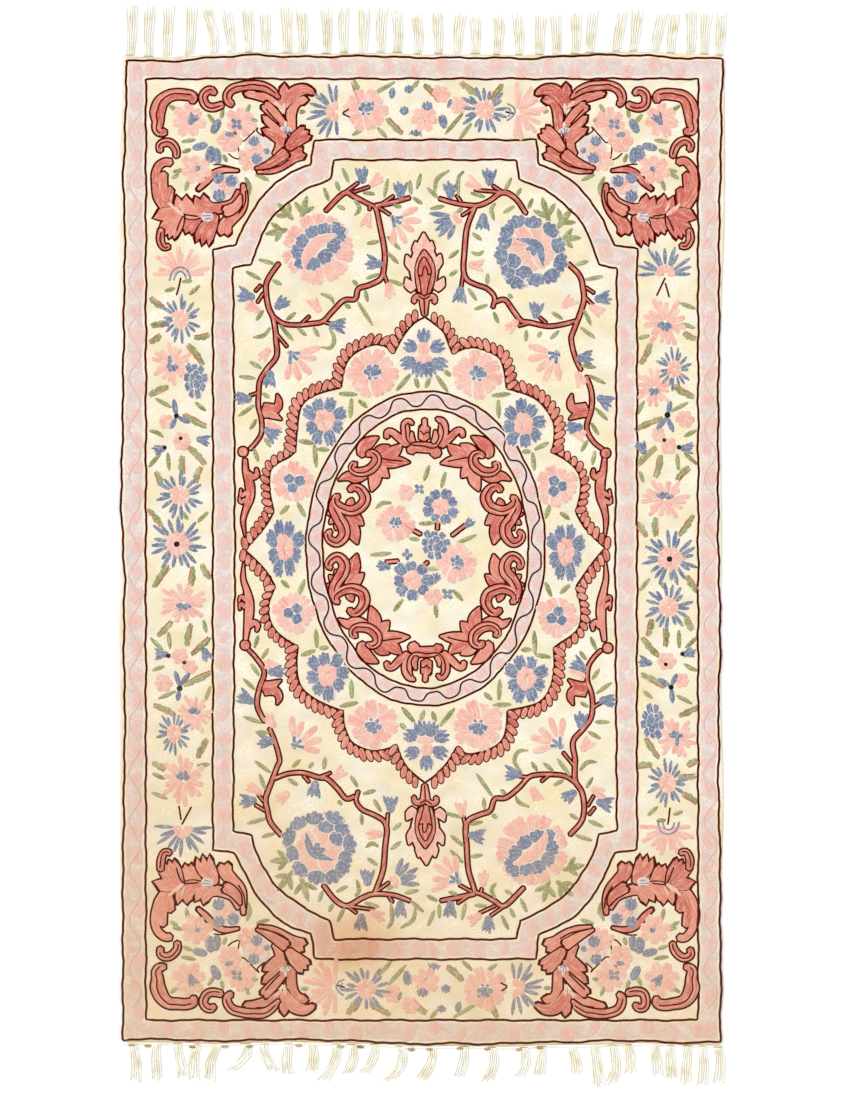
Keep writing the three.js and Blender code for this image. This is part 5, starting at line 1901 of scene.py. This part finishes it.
@dataclass
class Fringe:
    """The cotton fringe of one end: a heading along the cloth, and tassels of five loose twisted yarns."""

    side: int  # 1 for the straight tassels at the top end, -1 for the crooked ones
    tassels: Rows  # at, lean, swing and length, in mm
    knots: tuple[float, ...]  # cartoon x of the dark knots
    gap_mm: float = 0.3
    heading_mm: float = 4.0
    heading_thick_mm: float = 2.0
    heading_inset_mm: float = 3.0
    root_mm: float = 2.5
    yarns: int = 5
    root_half_mm: float = 5.4
    tip_half_mm: float = 8.2
    yarn_radius_mm: float = 1.15
    rings: int = 13

    def shapes(self, cloth: ClothFace) -> tuple[list[Tube], list[Tube]]:
        """The heading and yarns, and the brown root marks and knots, as rings and faces."""
        rng = np.random.default_rng(7 + self.side)
        x = np.linspace(-1, 1, 90) * (cloth.width_mm / 2 - self.heading_inset_mm) + CENTRING_MM[0]
        y = cloth.end_y_mm(self.side, x) + self.side * (self.gap_mm + self.heading_mm / 2)
        middle = np.stack([x, y, np.full_like(x, self.heading_thick_mm / 2)], axis=1)
        half = np.array([self.heading_mm, self.heading_thick_mm]) / 2
        cotton = [tube_grid(middle, half * np.ones((len(x), 1)), 8)]
        for tassel in self.tassels:
            cotton += [self.yarn(cloth, tassel, k, rng) for k in range(self.yarns)]
        brown = [self.root_mark(cloth, tassel[0], rng) for tassel in self.tassels if rng.uniform() < 0.6]
        brown += [self.knot(cloth, spot) for spot in self.knots]
        return cotton, brown

    def yarn(self, cloth: ClothFace, tassel: Sequence[float], k: int, rng: np.random.Generator) -> Tube:
        """One yarn: it leans with the 1.5 power of its share and swings by half a sine wave.

        Args:
            cloth: the cloth that it hangs from.
            tassel: where it is rooted, its lean, swing and length.
            k: number of the yarn in its tassel.
            rng: source of its small waves.
        """
        at, lean, swing, length = tassel
        share = np.linspace(0, 1, self.rings) ** 0.9
        off = (k - (self.yarns - 1) / 2) / ((self.yarns - 1) / 2)
        reach = (length + self.root_mm) * (1 - rng.uniform(0.0, 0.12))
        out = share * reach
        full = out / (length + self.root_mm)
        spread = off * (self.root_half_mm + (self.tip_half_mm - self.root_half_mm) * full)
        wave = rng.uniform(0.3, 1.0) * np.sin(rng.uniform(5, 11) * full + rng.uniform(0, 6)) * full**0.5
        x = at + CENTRING_MM[0] + spread + lean * full**1.5 + swing * np.sin(np.pi * full) + wave
        root = cloth.end_y_mm(self.side, np.array([at + CENTRING_MM[0]]))[0]
        y = root + self.side * (self.gap_mm + self.heading_mm - self.root_mm + out)
        uneven = 1 + 0.12 * np.sin(9 * full + k)
        radius = self.yarn_radius_mm * uneven * np.interp(share, (0, 0.9, 1), (1, 1, 0.55))
        path = np.stack([x, y, np.maximum(radius, self.yarn_radius_mm * 0.8)], axis=1)
        return tube_grid(path, np.stack([radius * 1.15, radius * 0.95], axis=1), 6)

    def root_mark(self, cloth: ClothFace, at: float, rng: np.random.Generator) -> Tube:
        """A short brown roll on the heading over a tassel's root, thin at both ends."""
        half = rng.uniform(5.5, 8.5)
        x = at + CENTRING_MM[0] + np.linspace(-half, half, 9)
        y = cloth.end_y_mm(self.side, x) + self.side * (self.gap_mm + rng.uniform(1.2, 2.6)) + 0.3 * np.sin(x)
        radius = 0.25 + 0.65 * np.sqrt(np.maximum(0, 1 - ((x - x.mean()) / (half * 1.05)) ** 2))
        path = np.stack([x, y, np.full_like(x, self.heading_thick_mm - 0.1)], axis=1)
        return tube_grid(path, np.stack([radius, radius * 0.6], axis=1), 6)

    def knot(self, cloth: ClothFace, spot: float) -> Tube:
        """A dark knot at the cloth's end, a short bulging roll."""
        at = (spot - CARTOON_ORIGIN[0]) * UNIT_MM + CENTRING_MM[0]
        share = np.linspace(-1, 1, 9)
        x = at + 5.2 * share
        out = self.gap_mm + self.heading_mm + 1.0 + 0.8 * np.sin(0.3 * at)
        y = cloth.end_y_mm(self.side, x) + self.side * out
        radius = 0.4 + 2.1 * np.sqrt(np.maximum(0, 1 - (share * 0.98) ** 2))
        path = np.stack([x, y, np.full_like(x, 1.5)], axis=1)
        return tube_grid(path, np.stack([radius, np.minimum(radius, 1.4)], axis=1), 8)

    def build(self, cloth: ClothFace, cotton: bpy.types.Material,
              brown: bpy.types.Material) -> list[bpy.types.Object]:
        """Makes and dresses the fringe and its brown marks and knots."""
        end = "top" if self.side > 0 else "bottom"
        names = (f"fringe_{end}_yarns", f"fringe_{end}_bindings")
        pieces = [self.joined(name, shapes) for name, shapes in zip(names, self.shapes(cloth))]
        for piece, material in zip(pieces, (cotton, brown)):
            dress(piece, material)
        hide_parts(f"fringe_{end}")
        return pieces

    def joined(self, name: str, shapes: list[Tube]) -> bpy.types.Object:
        """Joins yarns into one mesh, each with a tint of its own, and maps them round and along.

        Args:
            name: the piece's name.
            shapes: rings and faces of each.
        """
        rng = np.random.default_rng(101)
        counts = np.array([rings.shape[0] * rings.shape[1] for rings, _ in shapes])
        firsts = np.cumsum(counts) - counts
        points = np.concatenate([rings.reshape(-1, 3) for rings, _ in shapes]) * MM
        faces = np.concatenate([faces + first for (_, faces), first in zip(shapes, firsts)])
        maps = []
        for rings, _ in shapes:
            steps = np.hypot(*np.diff(rings[:, 0, :2], axis=0).T)
            along = np.concatenate([[0.0], np.cumsum(steps)])[:, None] + 0 * rings[..., 0]
            around = np.arange(rings.shape[1])[None, :] * 1.2 + 0 * rings[..., 0]
            maps.append(np.stack([around, along], axis=-1).reshape(-1, 2) * MM)
        tint = np.repeat(rng.uniform(0, 1, len(shapes)), counts)
        return mesh_object(name, points, faces, np.concatenate(maps), {"tint": tint})


# at, lean, swing and length of every tassel in mm, the same as the solids'.
TOP_TASSELS = (
    (-445, 3, 1, 77), (-417, 2, -1, 76), (-389, 3, 0, 76), (-355, 4, 1, 76), (-317, -15, 2, 75),
    (-290, -10, -1, 66), (-264, -4, 1, 64), (-238, -4, 0, 64), (-205, -3, -1, 69), (-182, -4, 1, 68),
    (-146, -2, 1, 72), (-119, 0, -2, 68), (-90, 1, 0, 68), (-63, 2, -1, 66), (-38, -2, 1, 65),
    (-7, -4, 2, 62), (25, -1, -1, 64), (54, 5, -1, 61), (81, -3, 1, 60), (114, 1, 2, 60), (148, -4, 0, 62),
    (179, 2, -1, 60), (205, -3, 0, 61), (233, 1, 1, 63), (256, 5, -1, 62), (296, 11, 0, 63),
    (322, 6, 1, 62), (354, 12, 1, 59), (379, 6, -1, 59), (409, 0, 1, 66), (430, 4, -1, 65), (452, 3, 1, 64),
)
BOTTOM_TASSELS = (
    (-440, 3, 2, 58), (-405, 2, -2, 56), (-373, 11, 0, 52), (-343, -3, -5, 54), (-311, -12, -8, 54),
    (-270, -24, 8, 38), (-241, 20, -4, 42), (-204, 0, -3, 46), (-168, -2, 3, 42), (-131, -22, 4, 54),
    (-108, -12, 6, 46), (-73, -18, 3, 42), (-35, -20, 10, 52), (14, -18, 4, 48), (63, -9, 2, 46),
    (106, -8, 5, 50), (155, -10, 5, 46), (182, -4, 0, 44), (228, 8, 2, 42), (262, 9, 1, 61),
    (290, -3, 5, 59), (314, 3, 2, 44), (353, 6, 2, 48), (379, 2, -2, 52), (405, -3, -2, 60),
    (427, 0, 1, 60), (450, 0, 4, 54),
)
BOTTOM_KNOTS = (131.6, 148, 192.6, 224.7, 249, 298.4, 340.5, 360.5, 411, 429.5, 460, 487.4, 519, 540)


@dataclass
class Studio:
    """A plain pale floor, soft light and a camera straight above the rug."""

    floor_half_m: float = 6.0
    camera_height_m: float = 6.0
    sensor_mm: float = 36.0
    sky_strength: float = 0.78
    key_strength: float = 1.25
    key_from: tuple[float, float, float] = (-0.75, 0.65, 1.0)  # towards the light

    def build(self) -> None:
        """Makes the floor, the even sky, one wide soft key light and the camera."""
        scene = bpy.context.scene
        side = np.linspace(-self.floor_half_m, self.floor_half_m, 9)
        y, x = np.meshgrid(side, side, indexing="ij")
        floor = mesh_object("studio_floor", np.stack([x, y, 0 * x], axis=-1).reshape(-1, 3), grid_faces(9, 9))
        floor.data.materials.append(self.floor_paint())
        world = bpy.data.worlds.new("studio_sky")
        world.use_nodes = True
        world.node_tree.nodes["Background"].inputs["Color"].default_value = (1.0, 1.0, 1.0, 1.0)
        world.node_tree.nodes["Background"].inputs["Strength"].default_value = self.sky_strength
        scene.world = world
        key = bpy.data.lights.new("key_light", "SUN")
        key.energy = self.key_strength
        key.angle = 0.5
        lamp = bpy.data.objects.new("key_light", key)
        lamp.rotation_euler = direction_turn(self.key_from)
        scene.collection.objects.link(lamp)
        camera = bpy.data.cameras.new("overhead_camera")
        camera.sensor_fit = "VERTICAL"
        camera.sensor_height = self.sensor_mm
        camera.lens = self.sensor_mm * self.camera_height_m / (PHOTO_FRAME[1] * UNIT_MM * MM)
        eye = bpy.data.objects.new("overhead_camera", camera)
        middle = to_rug(np.array([[*PHOTO_MIDDLE, 0.0]]))[0]
        eye.location = (middle[0], middle[1], self.camera_height_m)
        scene.collection.objects.link(eye)
        scene.camera = eye
        scene.view_settings.view_transform = "Standard"

    def floor_paint(self) -> bpy.types.Material:
        """Matt white studio paint, with the faintest mottling of a roller, 40 mm across."""
        material, add, shader = new_material("matt_white_floor_paint")
        roller = add("TexNoise", {"Vector": add("TexCoord", output="Object"), "Scale": per_metre(40)})
        paint = add("Mix", {MIX_FACTOR: roller, MIX_A: linear("#FBFBFB"), MIX_B: linear("#FEFEFE")},
                    MIX_RESULT, data_type="RGBA")
        feed(shader, {"Base Color": paint, "Roughness": 0.9, "Specular IOR Level": 0.1})
        return material


def direction_turn(towards: tuple[float, float, float]) -> tuple[float, float, float]:
    """Euler angles that turn a lamp's own +Z to that direction: a tilt about X, then a turn about Z."""
    x, y, z = towards
    return (float(np.arctan2(np.hypot(x, y), z)), 0.0, float(np.arctan2(y, x) + np.pi / 2))


def main() -> None:
    """Builds the studio, the cloth, its embroidery and its fringes, in that order."""
    Studio().build()
    cloth = ClothFace()
    sheet = cloth.build()
    dress(sheet, GroundWool().material())
    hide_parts("rug_cloth")
    work = Needlework()
    GuardBands().sewn(work)
    RopeMedallion().sewn(work)
    OvalBand().sewn(work)
    LobeFlowers().sewn(work)
    Wreath().sewn(work)
    Bouquet().sewn(work)
    FieldGarden().sewn(work)
    CornerFrames().sewn(work)
    Garlands().sewn(work)
    sewn_on = work.finish()
    cotton = FringeCotton().material()
    brown = FringeCotton("brown_cotton_root_marks_and_knots", "#A98748", "#CDB684", "#5E4F3C").material()
    for fringe in (Fringe(1, TOP_TASSELS, ()), Fringe(-1, BOTTOM_TASSELS, BOTTOM_KNOTS)):
        sewn_on += fringe.build(cloth, cotton, brown)


if __name__ == "__main__":
    main()
